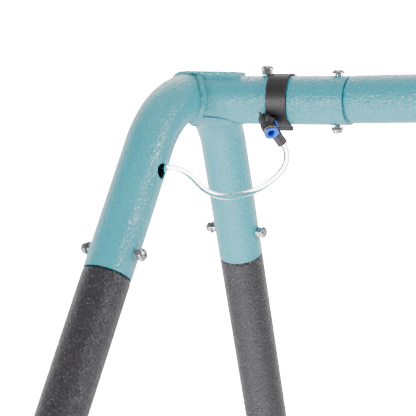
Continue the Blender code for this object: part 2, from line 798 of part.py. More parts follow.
def make_fitting(clip_r):
    """The push-fit body: a ribbed barrel, a side port and a socket for the sleeve, as one moulding."""
    port, side_port = mist(PORT), mist(SIDE_PORT)
    port_axis, side_axis = unit(PORT_AXIS), unit(SIDE_AXIS)
    ribs = [(0, -0.0255), (0.0062, -0.0255), (0.0074, -0.0240)]
    for k in range(3):
        low = -0.0210 + 0.0042 * k
        ribs += [(0.0074, low), (0.0067, low + 0.0007), (0.0067, low + 0.0017), (0.0074, low + 0.0024)]
    ribs += [(0.0074, -0.0042), (0.0070, -0.0034), (0, -0.0034)]
    body = turned("fitting_body", ribs[::-1], along(port, port_axis), BLACK, 16)
    side = turned(
        "side_barrel",
        rod_profile(0.0056, -0.0120, -0.0018),
        along(side_port, side_axis),
        None,
        16,
        True,
    )
    stem_top, stem_tip = (mist(p) for p in STEM)
    stem_axis = (stem_tip - stem_top).normalized()
    socket = turned(
        "sleeve_socket",
        rod_profile(0.0068, -0.0045, 0.0012),
        along(stem_top, stem_axis),
        None,
        16,
        True,
    )
    combine(body, "UNION", side, socket)
    stub = turned(
        "clip_space",
        rod_profile(clip_r + GAP, 0, 0.3),
        along(stub_point(LEFT, 0), stub_axis(LEFT)),
        None,
        48,
        True,
    )
    side_bore = (COLLET_R * SIDE_COLLET_SCALE + GAP) / math.cos(math.pi / 16)
    bores = [
        ("port_bore", rod_profile(0.0054, -0.0078, 0.01), along(port, port_axis)),
        ("side_bore", rod_profile(side_bore, -0.0080, 0.01), along(side_port, side_axis)),
        ("side_space", rod_profile(0.0060, -0.0020, 0.01), along(side_port, side_axis)),
        ("sleeve_bore", rod_profile(STEM_R + GAP, -0.0018, 0.02), along(stem_top, stem_axis)),
    ]
    # Each is turned a little, so that no two have corners in line.
    turns = [Matrix.Rotation(0.05 + 0.06 * k, 4, "Z") for k in range(len(bores))]
    cutters = [turned(n, p, m @ t, None, 16, True) for (n, p, m), t in zip(bores, turns)]
    combine(body, "DIFFERENCE", stub, *cutters)
    return stem_top, stem_tip, stem_axis


def unit(direction):
    return Vector(direction).normalized()


def make_collets():
    """Blue release collets that push in to let a tube go."""
    port = [
        (0.0075, 0.0012),
        (0.0075, -0.0006),
        (COLLET_R, -0.0010),
        (COLLET_R, -0.0055),
        (0.0034, -0.0055),
        (0.0034, -0.0015),
        (0.0042, 0.0012),
    ]
    turned("collet_front", port, along(mist(PORT), unit(PORT_AXIS)), BLUE, 16)
    side = [(r * SIDE_COLLET_SCALE, max(h, -0.0045)) for r, h in port]
    turned("collet_side", side, along(mist(SIDE_PORT), unit(SIDE_AXIS)), BLUE, 16)
    ring = sleeve_profile(0.0072, 0.0056, -0.0031, -0.0020)
    turned("brass_ring", ring, along(mist(PORT), unit(PORT_AXIS)), BRASS, 16)


def make_sleeve(top, tip, axis):
    length = (tip - top).length
    bore = HOSE_R + 0.0006
    profile = [
        (STEM_R * 0.84, length),
        (bore, length),
        (bore, -0.0015),
        (STEM_R, -0.0015),
        (STEM_R, length - 0.0020),
    ][::-1]
    turned("hose_sleeve", profile, along(top, axis), RUBBER, 16)


def in_leg(across, beside, down):
    """A point inside the left front leg: towards the middle, to the leg's underside, and down it."""
    up, side = leg_up(LEFT, FRONT), leg_side(LEFT, FRONT)
    return leg_point(LEFT, FRONT, down) + side * across + side.cross(up) * beside


def hose_in_leg():
    """Behind the hole the hose turns down, passes beside the bolts, and turns out to the inlet."""
    hole_across, hole_down = 0.0235, LEG_HOLE - 0.0034
    bend = hole_across - HOSE_ACROSS
    points = []
    for k in range(1, 7):
        a = math.radians(15 * k)
        across, down = hole_across - bend * math.sin(a), hole_down + bend * (1 - math.cos(a))
        points.append(in_leg(across, 0.0010 + 0.0002 * k, down))
    start, stop = hole_down + bend, INLET - HOSE_BEND
    for k in range(1, 5):
        share = k / 4
        ease = share * share * (3 - 2 * share)
        beside = 0.0022 + (HOSE_BESIDE - 0.0022) * ease
        points.append(in_leg(HOSE_ACROSS, beside, start + 0.050 * share))
    straight = start + 0.050
    for k in range(1, 25):
        down = straight + (stop - 0.050 - straight) * k / 24
        points.append(in_leg(HOSE_ACROSS, HOSE_BESIDE, down))
    for k in range(1, 5):
        share = k / 4
        ease = share * share * (3 - 2 * share)
        points.append(in_leg(HOSE_ACROSS, HOSE_BESIDE * (1 - ease), stop - 0.050 * (1 - share)))
    for k in range(1, 7):
        a = math.radians(15 * k)
        across = HOSE_ACROSS + HOSE_BEND * (1 - math.cos(a))
        points.append(in_leg(across, 0, stop + HOSE_BEND * math.sin(a)))
    return [*points, in_leg(0.0225, 0, INLET)]


def make_hose():
    """The clear hose, from the fitting through the leg's hole and down inside the leg."""
    seen = smooth([mist(p) for p in HOSE_ROUTE], 0.011)
    tube("mist_hose", seen + hose_in_leg(), HOSE_R, CLEAR, 2)


def make_inlet():
    """The garden-hose spigot that feeds the misting line, in the left front leg's inner face."""
    bore = HOSE_R + 0.0008
    face = TUBE_R + GAP
    profile = [
        (0.0058, face + 0.034),
        (0.0066, face + 0.032),
        (0.0066, face + 0.026),
        (0.0078, face + 0.024),
        (0.0078, face + 0.012),
        (0.0120, face + 0.011),
        (0.0120, face),
        (LEG_HOLE_R - 0.0008, face),
        (LEG_HOLE_R - 0.0008, face - 0.0080),
        (bore, face - 0.0080),
        (bore, face + 0.034),
    ]
    place = along(leg_point(LEFT, FRONT, INLET), leg_side(LEFT, FRONT))
    turned("hose_inlet", profile, place, BLACK, 16)


for stand_end in (LEFT, RIGHT):
    make_bracket(stand_end)
    make_brace(stand_end)
    for leg_row in (FRONT, REAR):
        make_leg(stand_end, leg_row)
        make_foot(stand_end, leg_row)
    make_eye_bolt(stand_end)
    make_link(stand_end)
    make_ring(stand_end)
    make_bar(stand_end)
    make_rope(stand_end)
make_beam()
make_fasteners()
make_cloth()
clip_radius = make_clip()
sleeve_top, sleeve_tip, sleeve_axis = make_fitting(clip_radius)
make_collets()
make_sleeve(sleeve_top, sleeve_tip, sleeve_axis)
make_hose()
make_inlet()
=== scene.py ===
"""Looks for the sling hammock on its A-frame stand: a close view of the stand's left apex.

Metres, +Z up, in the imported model's frame. X runs along the top beam and Y from the front legs to
the rear legs. Each piece is made at full detail at the size and place of the CAD node it replaces.
"""

from math import atan2, cos, hypot, pi, radians, sin, sqrt

import bmesh
import bpy
from mathutils import Matrix, Vector, noise


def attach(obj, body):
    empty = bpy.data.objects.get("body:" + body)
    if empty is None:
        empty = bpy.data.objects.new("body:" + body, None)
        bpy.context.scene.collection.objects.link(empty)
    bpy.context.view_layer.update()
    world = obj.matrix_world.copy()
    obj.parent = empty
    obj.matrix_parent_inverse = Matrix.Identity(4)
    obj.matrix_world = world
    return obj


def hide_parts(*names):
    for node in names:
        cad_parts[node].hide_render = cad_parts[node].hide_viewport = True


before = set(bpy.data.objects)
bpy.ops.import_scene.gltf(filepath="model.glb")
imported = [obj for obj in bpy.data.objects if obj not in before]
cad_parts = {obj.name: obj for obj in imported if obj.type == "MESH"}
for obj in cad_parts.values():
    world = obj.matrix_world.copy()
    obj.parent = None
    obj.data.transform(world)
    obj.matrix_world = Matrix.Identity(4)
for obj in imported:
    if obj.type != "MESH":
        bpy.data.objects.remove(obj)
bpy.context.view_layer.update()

LEFT, RIGHT = -1, 1
FRONT, REAR = -1, 1
X, Y, Z = Vector((1, 0, 0)), Vector((0, 1, 0)), Vector((0, 0, 1))
GAP = 0.0003

# Stand
APEX_X = 1.100
APEX_Z = 1.750
TUBE_R = 0.025
WALL = 0.0015
LEAN = radians(27.25)
SPLAY = radians(5.2)
BEND_R = 0.0925
BEND_FLAT = 0.002
CROWN = 0.0026
COLLAR = 0.141
PLUG = 0.075
STUB_LENGTH = 0.1803
STUB_RISE = 0.0007
STUB_DROOP = radians(1.1)
BEAM_R = 0.0242
BEAM_DROP = 0.0017
BEAM_PLUG_R = 0.0216
BEAM_PLUG = 0.106
CENTRE_PLUG = 0.070
SHOULDER = 0.005
SADDLE_EDGE = 0.0112  # from the strap's middle to the welds along its sides
SADDLE_START = -0.012
SADDLE_RUN = 0.070

# Fasteners
SHANK_R = 0.003
HEAD_R = 0.0069
HEAD_H = 0.0058
NUT_H = 0.0085
STUB_BOLTS = (0.0878, 0.1665)
STUB_STANDS = (0.0044, 0.0)
LEG_BOLTS = {FRONT: 0.1165, REAR: 0.1105}
LEG_HEAD_STAND = 0.0048
LEG_NUT_STAND = 0.0050

# Cross brace and feet
BRACE_Z = 0.520
BRACE_R = 0.0125
BRACE_SET_IN = 0.0155
BRACE_BOLT_OUT = 0.0115
FOOT_R = 0.0295
FOOT_UP = 0.055
LEG_END_Z = 0.019

# Hammock
HOOK_X = 0.800
EYE_Z = 1.699
EYE_R = 0.014
EYE_ROD = 0.004
LINK_ROD = 0.0035
LINK_R = 0.0135
LINK_STRAIGHT = 0.036
GATE_GAP = 0.0017
RING_R = 0.021
RING_ROD = 0.004
BAR_X = 0.440
BAR_Z = 1.000
BAR_R = 0.016
BAR_HALF = 0.430
ROPE_R = 0.004
ROPE_Y = 0.405
CLOTH_HALF = 0.375
CLOTH_SAG = 0.400
SLEEVE_WALL = 0.003

# Misting line. PORT, SIDE_PORT, STEM and HOSE_ROUTE are in millimetres from the left apex.
CLIP_X = (0.0984, 0.1205)
CLIP_WALL = 0.0022
CLIP_BOW = 0.0035
CLIP_FLARE = 0.0052  # the inner radius of its turned-out lips
PORT = (108.5, -34.0, -34.9)
PORT_AXIS = Vector((0.545, -0.543, -0.639)).normalized()
SIDE_PORT = (109.3, -24.7, -25.5)
SIDE_AXIS = Vector((0.829, 0.447, 0.325)).normalized()
COLLET_R = 0.0051
SIDE_COLLET_SCALE = 0.52
STEM = ((105.3, -21.0, -32.9), (113.9, -16.4, -46.9))
STEM_R = 0.0056
HOSE_R = 0.003175
LEG_HOLE = 0.026
LEG_HOLE_R = 0.008
HOSE_ACROSS = -0.006
HOSE_BESIDE = 0.011
HOSE_BEND = 0.026
HOSE_SHIFT = 0.050  # the length over which it moves aside for the bolts
INLET = 1.480
HOSE_ROUTE = (
    (106.8, -20.2, -35.3), (110.3, -18.35, -41.0), (114.1, -16.35, -47.2), (116.9, -16.1, -54.5),
    (118.0, -18.3, -62.0), (116.7, -22.6, -69.4), (113.2, -27.6, -76.5), (107.8, -33.3, -83.0),
    (101.4, -39.6, -88.6), (94.2, -46.0, -92.9), (85.6, -53.5, -96.1), (76.5, -61.0, -98.0),
    (67.4, -68.5, -97.2), (59.8, -75.9, -93.6), (54.0, -82.6, -87.4), (49.5, -88.3, -80.4),
    (44.4, -92.5, -74.4), (37.8, -95.0, -70.6), (29.9, -96.0, -68.9), (21.8, -96.1, -68.6),
)

# Camera, from the left apex in metres, and the way it faces
CAMERA = Vector((0.75693, -1.42979, -0.03115))
CAMERA_AXES = (
    Vector((0.88872, 0.45842, -0.00488)),
    Vector((-0.01910, 0.04766, 0.99868)),
    Vector((0.45805, -0.88746, 0.05112)),
)
LENS = 132.4

# Studio
AMBIENT = 0.36  # soft light from in front of the object
BACK_LIGHT = 2.4  # and from behind it
BACKDROP = 40.0
FLAG = 0.15  # the dark card at the right that the clear hose refracts
FLOOR_GLOW = 0.45
FLOOR_HALF = 4.0


# Places that the CAD part gives


def side_name(end):
    return "left" if end == LEFT else "right"


def row_name(row):
    return "front" if row == FRONT else "rear"


def apex_point(end, x, y, z):
    """A point given from an apex, with x towards the middle of the stand."""
    return Vector((end * APEX_X - end * x, y, APEX_Z + z))


def mist(point):
    return apex_point(LEFT, *(Vector(point) / 1000))


def leg_point(end, row, down):
    turn = pi / 2 - LEAN
    reach = BEND_FLAT + BEND_R * sin(turn) + down * sin(LEAN)
    height = CROWN - BEND_R + BEND_R * cos(turn) - down * cos(LEAN)
    return apex_point(end, height * sin(SPLAY), row * reach, height * cos(SPLAY))


def leg_up(end, row):
    return (leg_point(end, row, 0) - leg_point(end, row, 1)).normalized()


def leg_side(end, row):
    up = leg_up(end, row)
    inward = -end * X
    return (inward - up * up.dot(inward)).normalized()


def leg_down_to(end, row, height):
    top, lower = leg_point(end, row, 0), leg_point(end, row, 1)
    return (top.z - height) / (top.z - lower.z)


def bend_route(end, step):
    turn = pi / 2 - LEAN
    count = round(turn / step)
    half = []
    for k in range(count + 1):
        a = turn * k / count
        half.append((BEND_FLAT + BEND_R * sin(a), CROWN - BEND_R + BEND_R * cos(a)))
    rear = [apex_point(end, h * sin(SPLAY), y, h * cos(SPLAY)) for y, h in half]
    front = [Vector((p.x, -p.y, p.z)) for p in rear]
    last = [leg_point(end, REAR, COLLAR * k / 6) for k in range(1, 7)]
    first = [leg_point(end, FRONT, COLLAR * k / 6) for k in range(6, 0, -1)]
    return [*first, *reversed(front), *rear, *last]


def stub_axis(end):
    return Vector((-end * cos(STUB_DROOP), 0, -sin(STUB_DROOP)))


def stub_point(end, reach):
    return apex_point(end, 0, 0, STUB_RISE) + stub_axis(end) * reach


def stub_square(end):
    axis = stub_axis(end)
    return (Z - axis * axis.z).normalized()


def brace_end(end, row):
    return leg_point(end, row, leg_down_to(end, row, BRACE_Z))


def beam_point(x, z=0.0):
    return Vector((x, 0, APEX_Z - BEAM_DROP + z))


def pull(end):
    return (Vector((end * BAR_X, 0, BAR_Z)) - Vector((end * HOOK_X, 0, EYE_Z))).normalized()


def link_centre(end):
    rod = EYE_Z - EYE_R + EYE_ROD + GAP + LINK_ROD
    return Vector((end * HOOK_X, 0, rod - LINK_R))


def ring_centre(end):
    bottom = link_centre(end) + pull(end) * LINK_STRAIGHT
    inner = LINK_R - LINK_ROD - GAP - RING_ROD
    return bottom + pull(end) * (inner + RING_R)


def rope_hole(end, y):
    return Vector((end * BAR_X, y, BAR_Z))


def in_leg(across, beside, down):
    up, side = leg_up(LEFT, FRONT), leg_side(LEFT, FRONT)
    return leg_point(LEFT, FRONT, down) + side * across + side.cross(up) * beside


# Shapes: each is a list of points and a list of faces


def along(point, direction):
    turn = Vector(direction).to_track_quat("Z", "Y").to_matrix().to_4x4()
    return Matrix.Translation(point) @ turn


def placed(shape, matrix):
    points, faces = shape
    return [matrix @ Vector(p) for p in points], faces


def joined(*shapes):
    points, faces = [], []
    for more, loops in shapes:
        start = len(points)
        points += more
        faces += [tuple(start + k for k in loop) for loop in loops]
    return points, faces


def rounded(profile, radius=0.0003, steps=3):
    """The profile with each corner that isn't on the axis rounded off."""
    made = []
    open_ends = min(r for r, _ in profile) <= 1e-9
    for k, (r, h) in enumerate(profile):
        here = Vector((r, h))
        before = Vector(profile[k - 1])
        after = Vector(profile[(k + 1) % len(profile)])
        if r <= 1e-9 or (open_ends and k in (0, len(profile) - 1)):
            made.append((r, h))
            continue
        cut = min(radius, (before - here).length * 0.45, (after - here).length * 0.45)
        a = here + (before - here).normalized() * cut
        b = here + (after - here).normalized() * cut
        for j in range(steps + 1):
            t = j / steps
            p = a * (1 - t) ** 2 + here * 2 * t * (1 - t) + b * t * t
            made.append((p.x, p.y))
    return made


def lathe(profile, steps=48):
    """Turns (radius, height) points about Z. A profile off the axis is closed on itself."""
    points, rings = [], []
    for r, h in profile:
        if r <= 1e-9:
            rings.append([len(points)] * steps)
            points.append(Vector((0, 0, h)))
            continue
        rings.append(list(range(len(points), len(points) + steps)))
        for k in range(steps):
            a = 2 * pi * k / steps
            points.append(Vector((r * cos(a), r * sin(a), h)))
    pairs = list(zip(rings, rings[1:]))
    if min(r for r, _ in profile) > 1e-9:
        pairs.append((rings[-1], rings[0]))
    faces = []
    for low, high in pairs:
        for k in range(steps):
            j = (k + 1) % steps
            loop = dict.fromkeys((low[k], high[k], high[j], low[j]))
            if len(loop) > 2:
                faces.append(tuple(loop))
    return points, faces


def frames_along(route, closed=False):
    """For each point of the route, two directions square to it that don't twist."""
    count = len(route)
    ways = []
    for k in range(count):
        if closed:
            way = route[(k + 1) % count] - route[k - 1]
        else:
            way = route[min(k + 1, count - 1)] - route[max(k - 1, 0)]
        ways.append(way.normalized())
    side = ways[0].orthogonal().normalized()
    made = []
    for way in ways:
        side = (side - way * side.dot(way)).normalized()
        made.append((side, way.cross(side)))
    return made


def skin(route, radius, sides, closed=False):
    """The rings of points round a route. radius is a number, or a function of the ring's index."""
    points = []
    for k, (centre, (a, b)) in enumerate(zip(route, frames_along(route, closed))):
        r = radius(k) if callable(radius) else radius
        for j in range(sides):
            t = 2 * pi * j / sides
            points.append(centre + a * r * cos(t) + b * r * sin(t))
    return points


def wall(rings, sides, start=0, closed=False, inside=False):
    faces = []
    for k in range(rings if closed else rings - 1):
        low, high = start + k * sides, start + ((k + 1) % rings) * sides
        for j in range(sides):
            i = (j + 1) % sides
            loop = (low + j, low + i, high + i, high + j)
            faces.append(loop[::-1] if inside else loop)
    return faces


def rod(route, radius, sides=24, closed=False):
    points = skin(route, radius, sides, closed)
    faces = wall(len(route), sides, closed=closed)
    if not closed:
        faces.append(tuple(range(sides))[::-1])
        faces.append(tuple(range(len(points) - sides, len(points))))
    return points, faces


def pipe(route, outer, inner, sides=72):
    out, into = skin(route, outer, sides), skin(route, inner, sides)
    count = len(out)
    faces = wall(len(route), sides) + wall(len(route), sides, count, inside=True)
    for ring, flip in ((0, True), (count - sides, False)):
        for j in range(sides):
            i = (j + 1) % sides
            loop = (ring + j, ring + i, count + ring + i, count + ring + j)
            faces.append(loop[::-1] if flip else loop)
    return out + into, faces


def slab(outline, thickness):
    """An outline in local XY, counter-clockwise, as a solid with its faces square to Z."""
    count = len(outline)
    points = [Vector((x, y, h)) for h in (-thickness / 2, thickness / 2) for x, y in outline]
    faces = [tuple(range(count))[::-1], tuple(range(count, 2 * count))]
    for k in range(count):
        j = (k + 1) % count
        faces.append((k, j, count + j, count + k))
    return points, faces


def smooth(route, step):
    points = [Vector(p) for p in route]
    points = [2 * points[0] - points[1], *points, 2 * points[-1] - points[-2]]
    made = []
    for a, b, c, d in zip(points, points[1:], points[2:], points[3:]):
        count = max(1, round((c - b).length / step))
        for k in range(count):
            t = k / count
            first = (2 * b + (c - a) * t + (2 * a - 5 * b + 4 * c - d) * t * t) / 2
            made.append(first + (3 * b - a - 3 * c + d) * t**3 / 2)
    return [*made, points[-2]]


def circle(centre, radius, across, up, count):
    made = []
    for k in range(count):
        a = 2 * pi * k / count
        made.append(centre + across * radius * cos(a) + up * radius * sin(a))
    return made


def mesh_of(name, shape):
    points, faces = shape
    mesh = bpy.data.meshes.new(name)
    mesh.from_pydata([tuple(p) for p in points], [], faces)
    return mesh


def put(name, data):
    """A new object in the scene that holds this data."""
    obj = bpy.data.objects.new(name, data)
    bpy.context.scene.collection.objects.link(obj)
    return obj


def piece(name, shape, slot, body, nodes, crease=38, bevel=0.0):
    """A visible object made from a shape, riding on a body in place of CAD nodes."""
    mesh = mesh_of(name, shape)
    made = bmesh.new()
    made.from_mesh(mesh)
    bmesh.ops.remove_doubles(made, verts=made.verts, dist=1e-7)
    bmesh.ops.recalc_face_normals(made, faces=made.faces)
    made.to_mesh(mesh)
    made.free()
    mesh.shade_smooth()
    mesh.set_sharp_from_angle(angle=radians(crease))
    mesh.materials.append(FINISHES[slot])
    obj = put(name, mesh)
    if bevel:
        edge = obj.modifiers.new("Edges", "BEVEL")
        edge.width = bevel
        edge.segments = 3
        edge.limit_method = "ANGLE"
        edge.angle_limit = radians(50)
        edge.harden_normals = True
    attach(obj, body)
    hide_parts(*nodes)
    return obj


# Materials, by the name of their slot

FINISHES = {}


class Surface:
    """A Principled material and short ways to add the detail that its nodes give."""

    def __init__(self, name, colour, roughness, metallic=0.0):
        self.made = bpy.data.materials.new(name)
        self.made.use_nodes = True
        self.tree = self.made.node_tree
        self.shader = self.tree.nodes["Principled BSDF"]
        self.shader.inputs["Base Color"].default_value = (*colour, 1)
        self.shader.inputs["Roughness"].default_value = roughness
        self.shader.inputs["Metallic"].default_value = metallic
        self.colour = colour
        self.height = None
        self.where = self.add("ShaderNodeTexCoord").outputs["Object"]

    def add(self, kind, **values):
        node = self.tree.nodes.new(kind)
        for key, value in values.items():
            if key in node.inputs:
                node.inputs[key].default_value = value
            else:
                setattr(node, key, value)
        return node

    def link(self, output, target):
        self.tree.links.new(output, target)

    def set(self, **values):
        for key, value in values.items():
            self.shader.inputs[key.replace("_", " ")].default_value = value

    def grain(self, scale, detail=2.0, stretch=(1, 1, 1), distortion=0.0):
        """Noise of that many features to the metre."""
        spread = self.add("ShaderNodeMapping")
        spread.inputs["Scale"].default_value = stretch
        self.link(self.where, spread.inputs["Vector"])
        made = self.add("ShaderNodeTexNoise", Scale=scale, Detail=detail, Distortion=distortion)
        self.link(spread.outputs["Vector"], made.inputs["Vector"])
        return made.outputs["Fac"]

    def cells(self, scale, feature="SMOOTH_F1"):
        made = self.add("ShaderNodeTexVoronoi", Scale=scale, feature=feature)
        self.link(self.where, made.inputs["Vector"])
        return made.outputs["Distance"]

    def bands(self, scale, direction="X", distortion=0.0):
        made = self.add("ShaderNodeTexWave", Scale=scale, Distortion=distortion)
        made.bands_direction = direction
        self.link(self.where, made.inputs["Vector"])
        return made.outputs["Fac"]

    def ramp(self, value, low, high, first, last):
        """value from low to high becomes first to last."""
        made = self.add("ShaderNodeMapRange")
        for key, number in zip(("From Min", "From Max", "To Min", "To Max"), (low, high, first, last)):
            made.inputs[key].default_value = number
        self.link(value, made.inputs["Value"])
        return made.outputs["Result"]

    def tint(self, value, other, low=0.3, high=0.7):
        """The colour goes to other as value goes from low to high."""
        mix = self.add("ShaderNodeMix", data_type="RGBA")
        colours = [s for s in mix.inputs if s.type == "RGBA"]
        source = self.shader.inputs["Base Color"]
        if source.is_linked:
            self.link(source.links[0].from_socket, colours[0])
        else:
            colours[0].default_value = (*self.colour, 1)
        colours[1].default_value = (*other, 1)
        factor = next(s for s in mix.inputs if s.type == "VALUE")
        self.link(self.ramp(value, low, high, 0, 1), factor)
        self.link(next(s for s in mix.outputs if s.type == "RGBA"), source)

    def rough(self, value, smooth_end, rough_end):
        self.link(self.ramp(value, 0.3, 0.7, smooth_end, rough_end), self.shader.inputs["Roughness"])

    def bump(self, value, distance, strength=1.0):
        made = self.add("ShaderNodeBump", Strength=strength, Distance=distance)
        self.link(value, made.inputs["Height"])
        if self.height is not None:
            self.link(self.height, made.inputs["Normal"])
        self.height = made.outputs["Normal"]
        self.link(self.height, self.shader.inputs["Normal"])
        self.link(self.height, self.shader.inputs["Coat Normal"])


def powder_coat(name, colour, dark, cells, height, roughness):
    """Textured powder coat: hammered dimples under a fine orange peel."""
    made = Surface(name, colour, roughness)
    made.tint(made.grain(9, 3), dark, 0.35, 0.75)
    made.rough(made.grain(60, 2), roughness - 0.05, roughness + 0.07)
    made.bump(made.grain(cells, 1.5, distortion=0.4), height)
    made.bump(made.cells(cells * 2.3), height * 0.35)
    return made


def speckled(name, colour, roughness, metallic=0.0, tint=None, rough=None, bump=None):
    """A material that varies by noise: each detail is the noise's scale and detail, then its values."""
    made = Surface(name, colour, roughness, metallic)
    for apply, values in ((made.tint, tint), (made.rough, rough), (made.bump, bump)):
        if values:
            apply(made.grain(*values[:2]), *values[2:])
    return made.made


def make_materials():
    teal = powder_coat("teal_powder_coat", (0.020, 0.330, 0.405), (0.016, 0.300, 0.375), 330, 0.0012, 0.32)
    teal.set(Coat_Weight=0.6, Coat_Roughness=0.08)
    FINISHES["teal"] = teal.made
    charcoal = powder_coat(
        "charcoal_powder_coat", (0.015, 0.014, 0.017), (0.012, 0.011, 0.014), 380, 0.0015, 0.36
    )
    charcoal.set(Coat_Weight=0.15, Coat_Roughness=0.12)
    FINISHES["charcoal"] = charcoal.made

    FINISHES["zinc"] = speckled(
        "zinc", (0.50, 0.51, 0.53), 0.16, 1.0,
        tint=(240, 3, (0.30, 0.30, 0.31), 0.40, 0.75), rough=(500, 2, 0.10, 0.28), bump=(900, 2, 0.00006),
    )
    FINISHES["black_plastic"] = speckled(
        "black_plastic", (0.013, 0.011, 0.012), 0.42, rough=(300, 2, 0.42, 0.58), bump=(1500, 2, 0.00005)
    )
    FINISHES["blue_plastic"] = speckled(
        "blue_plastic", (0.004, 0.085, 0.66), 0.28,
        tint=(300, 2, (0.003, 0.070, 0.56), 0.4, 0.8), bump=(1200, 2, 0.00003),
    )
    FINISHES["brass"] = speckled(
        "brass", (0.72, 0.52, 0.22), 0.3, 1.0, rough=(800, 2, 0.22, 0.4), bump=(1500, 2, 0.00004)
    )
    FINISHES["sleeve_rubber"] = speckled(
        "sleeve_rubber", (0.052, 0.041, 0.046), 0.5, rough=(400, 2, 0.42, 0.6), bump=(1400, 3, 0.00006)
    )
    FINISHES["rubber"] = speckled(
        "rubber", (0.030, 0.030, 0.031), 0.75,
        tint=(30, 4, (0.055, 0.053, 0.050), 0.5, 0.8), bump=(900, 3, 0.00012),
    )

    hose = Surface("clear_hose", (0.985, 0.995, 0.99), 0.05)
    hose.set(Transmission_Weight=1.0, IOR=1.30)
    hose.bump(hose.grain(130, 1), 0.00005)
    FINISHES["clear_hose"] = hose.made

    wood = Surface("oiled_hardwood", (0.40, 0.215, 0.095), 0.45)
    fibre = wood.grain(90, 5, (1, 0.05, 1), 1.2)
    wood.tint(fibre, (0.20, 0.095, 0.040), 0.35, 0.75)
    wood.tint(wood.grain(600, 3, (1, 0.03, 1)), (0.15, 0.070, 0.030), 0.58, 0.9)
    wood.rough(fibre, 0.38, 0.58)
    wood.bump(fibre, 0.0003)
    FINISHES["wood"] = wood.made

    rope = Surface("laid_rope", (0.62, 0.555, 0.43), 0.9)
    strands = rope.bands(110, "DIAGONAL", 0.6)
    rope.tint(strands, (0.36, 0.30, 0.21), 0.0, 0.35)
    rope.tint(rope.grain(1500, 3), (0.78, 0.72, 0.60), 0.5, 0.9)
    rope.bump(strands, 0.0010)
    rope.bump(rope.grain(2500, 3), 0.0002)
    rope.set(Sheen_Weight=0.2)
    FINISHES["rope"] = rope.made

    cloth = Surface("woven_canvas", (0.66, 0.64, 0.56), 0.92)
    warp, weft = cloth.bands(250, "Y", 0.2), cloth.bands(250, "X", 0.2)
    weave = cloth.add("ShaderNodeMath", operation="MULTIPLY")
    cloth.link(warp, weave.inputs[0])
    cloth.link(weft, weave.inputs[1])
    stripe = cloth.bands(3.2, "Y")
    cloth.tint(stripe, (0.085, 0.290, 0.335), 0.80, 0.82)
    cloth.tint(weave.outputs["Value"], (0.80, 0.79, 0.73), 0.2, 1.4)
    cloth.tint(cloth.grain(700, 3), (0.42, 0.42, 0.38), 0.55, 1.1)
    cloth.bump(weave.outputs["Value"], 0.0005)
    cloth.bump(cloth.grain(60, 4), 0.0010, 0.6)
    cloth.set(Sheen_Weight=0.3, Sheen_Roughness=0.5)
    FINISHES["cloth"] = cloth.made


# Camera, light and floor


def make_camera():
    data = bpy.data.cameras.new("camera")
    data.lens = LENS
    data.sensor_width = 36
    data.clip_end = 60
    camera = put("camera", data)
    turn = Matrix(CAMERA_AXES).transposed().to_4x4()
    camera.matrix_world = Matrix.Translation(apex_point(LEFT, *CAMERA)) @ turn
    bpy.context.scene.camera = camera


def area_light(name, direction, distance, size, power):
    """A soft light that faces the left apex from that direction, itself out of sight."""
    data = bpy.data.lights.new(name, "AREA")
    data.shape = "RECTANGLE"
    data.size, data.size_y = size
    data.energy = power
    light = put(name, data)
    way = Vector(direction).normalized()
    light.matrix_world = along(Vector((-APEX_X, 0, APEX_Z)) + way * distance, way)
    light.visible_camera = False


def facing(tree, way, low, high, first, last):
    """From first to last as a world direction's share along way goes from low to high."""
    where = tree.nodes.new("ShaderNodeTexCoord")
    share = tree.nodes.new("ShaderNodeVectorMath")
    share.operation = "DOT_PRODUCT"
    share.inputs[1].default_value = way
    tree.links.new(where.outputs["Generated"], share.inputs[0])
    made = tree.nodes.new("ShaderNodeMapRange")
    made.interpolation_type = "SMOOTHSTEP"
    for key, number in zip(("From Min", "From Max", "To Min", "To Max"), (low, high, first, last)):
        made.inputs[key].default_value = number
    tree.links.new(share.outputs["Value"], made.inputs["Value"])
    return made.outputs["Result"]


def make_world():
    """White light all round, most of it from behind, and a backdrop that is white in the picture."""
    world = bpy.data.worlds.new("studio")
    world.use_nodes = True
    tree = world.node_tree
    soft = tree.nodes["Background"]
    backdrop = tree.nodes.new("ShaderNodeBackground")
    through = tree.nodes.new("ShaderNodeBackground")
    for light in (soft, backdrop, through):
        light.inputs["Color"].default_value = (1, 1, 1, 1)
    behind = facing(tree, (-0.458, 0.887, -0.05), -0.1, 0.95, AMBIENT, BACK_LIGHT)
    tree.links.new(behind, soft.inputs["Strength"])
    backdrop.inputs["Strength"].default_value = BACKDROP
    flagged = facing(tree, (0.889, 0.458, 0.0), 0.16, 0.26, BACKDROP, FLAG)
    tree.links.new(flagged, through.inputs["Strength"])
    ray = tree.nodes.new("ShaderNodeLightPath")
    last = soft
    for kind, light in (("Is Transmission Ray", through), ("Is Camera Ray", backdrop)):
        mix = tree.nodes.new("ShaderNodeMixShader")
        tree.links.new(ray.outputs[kind], mix.inputs[0])
        tree.links.new(last.outputs[0], mix.inputs[1])
        tree.links.new(light.outputs[0], mix.inputs[2])
        last = mix
    tree.links.new(last.outputs[0], tree.nodes["World Output"].inputs["Surface"])
    bpy.context.scene.world = world


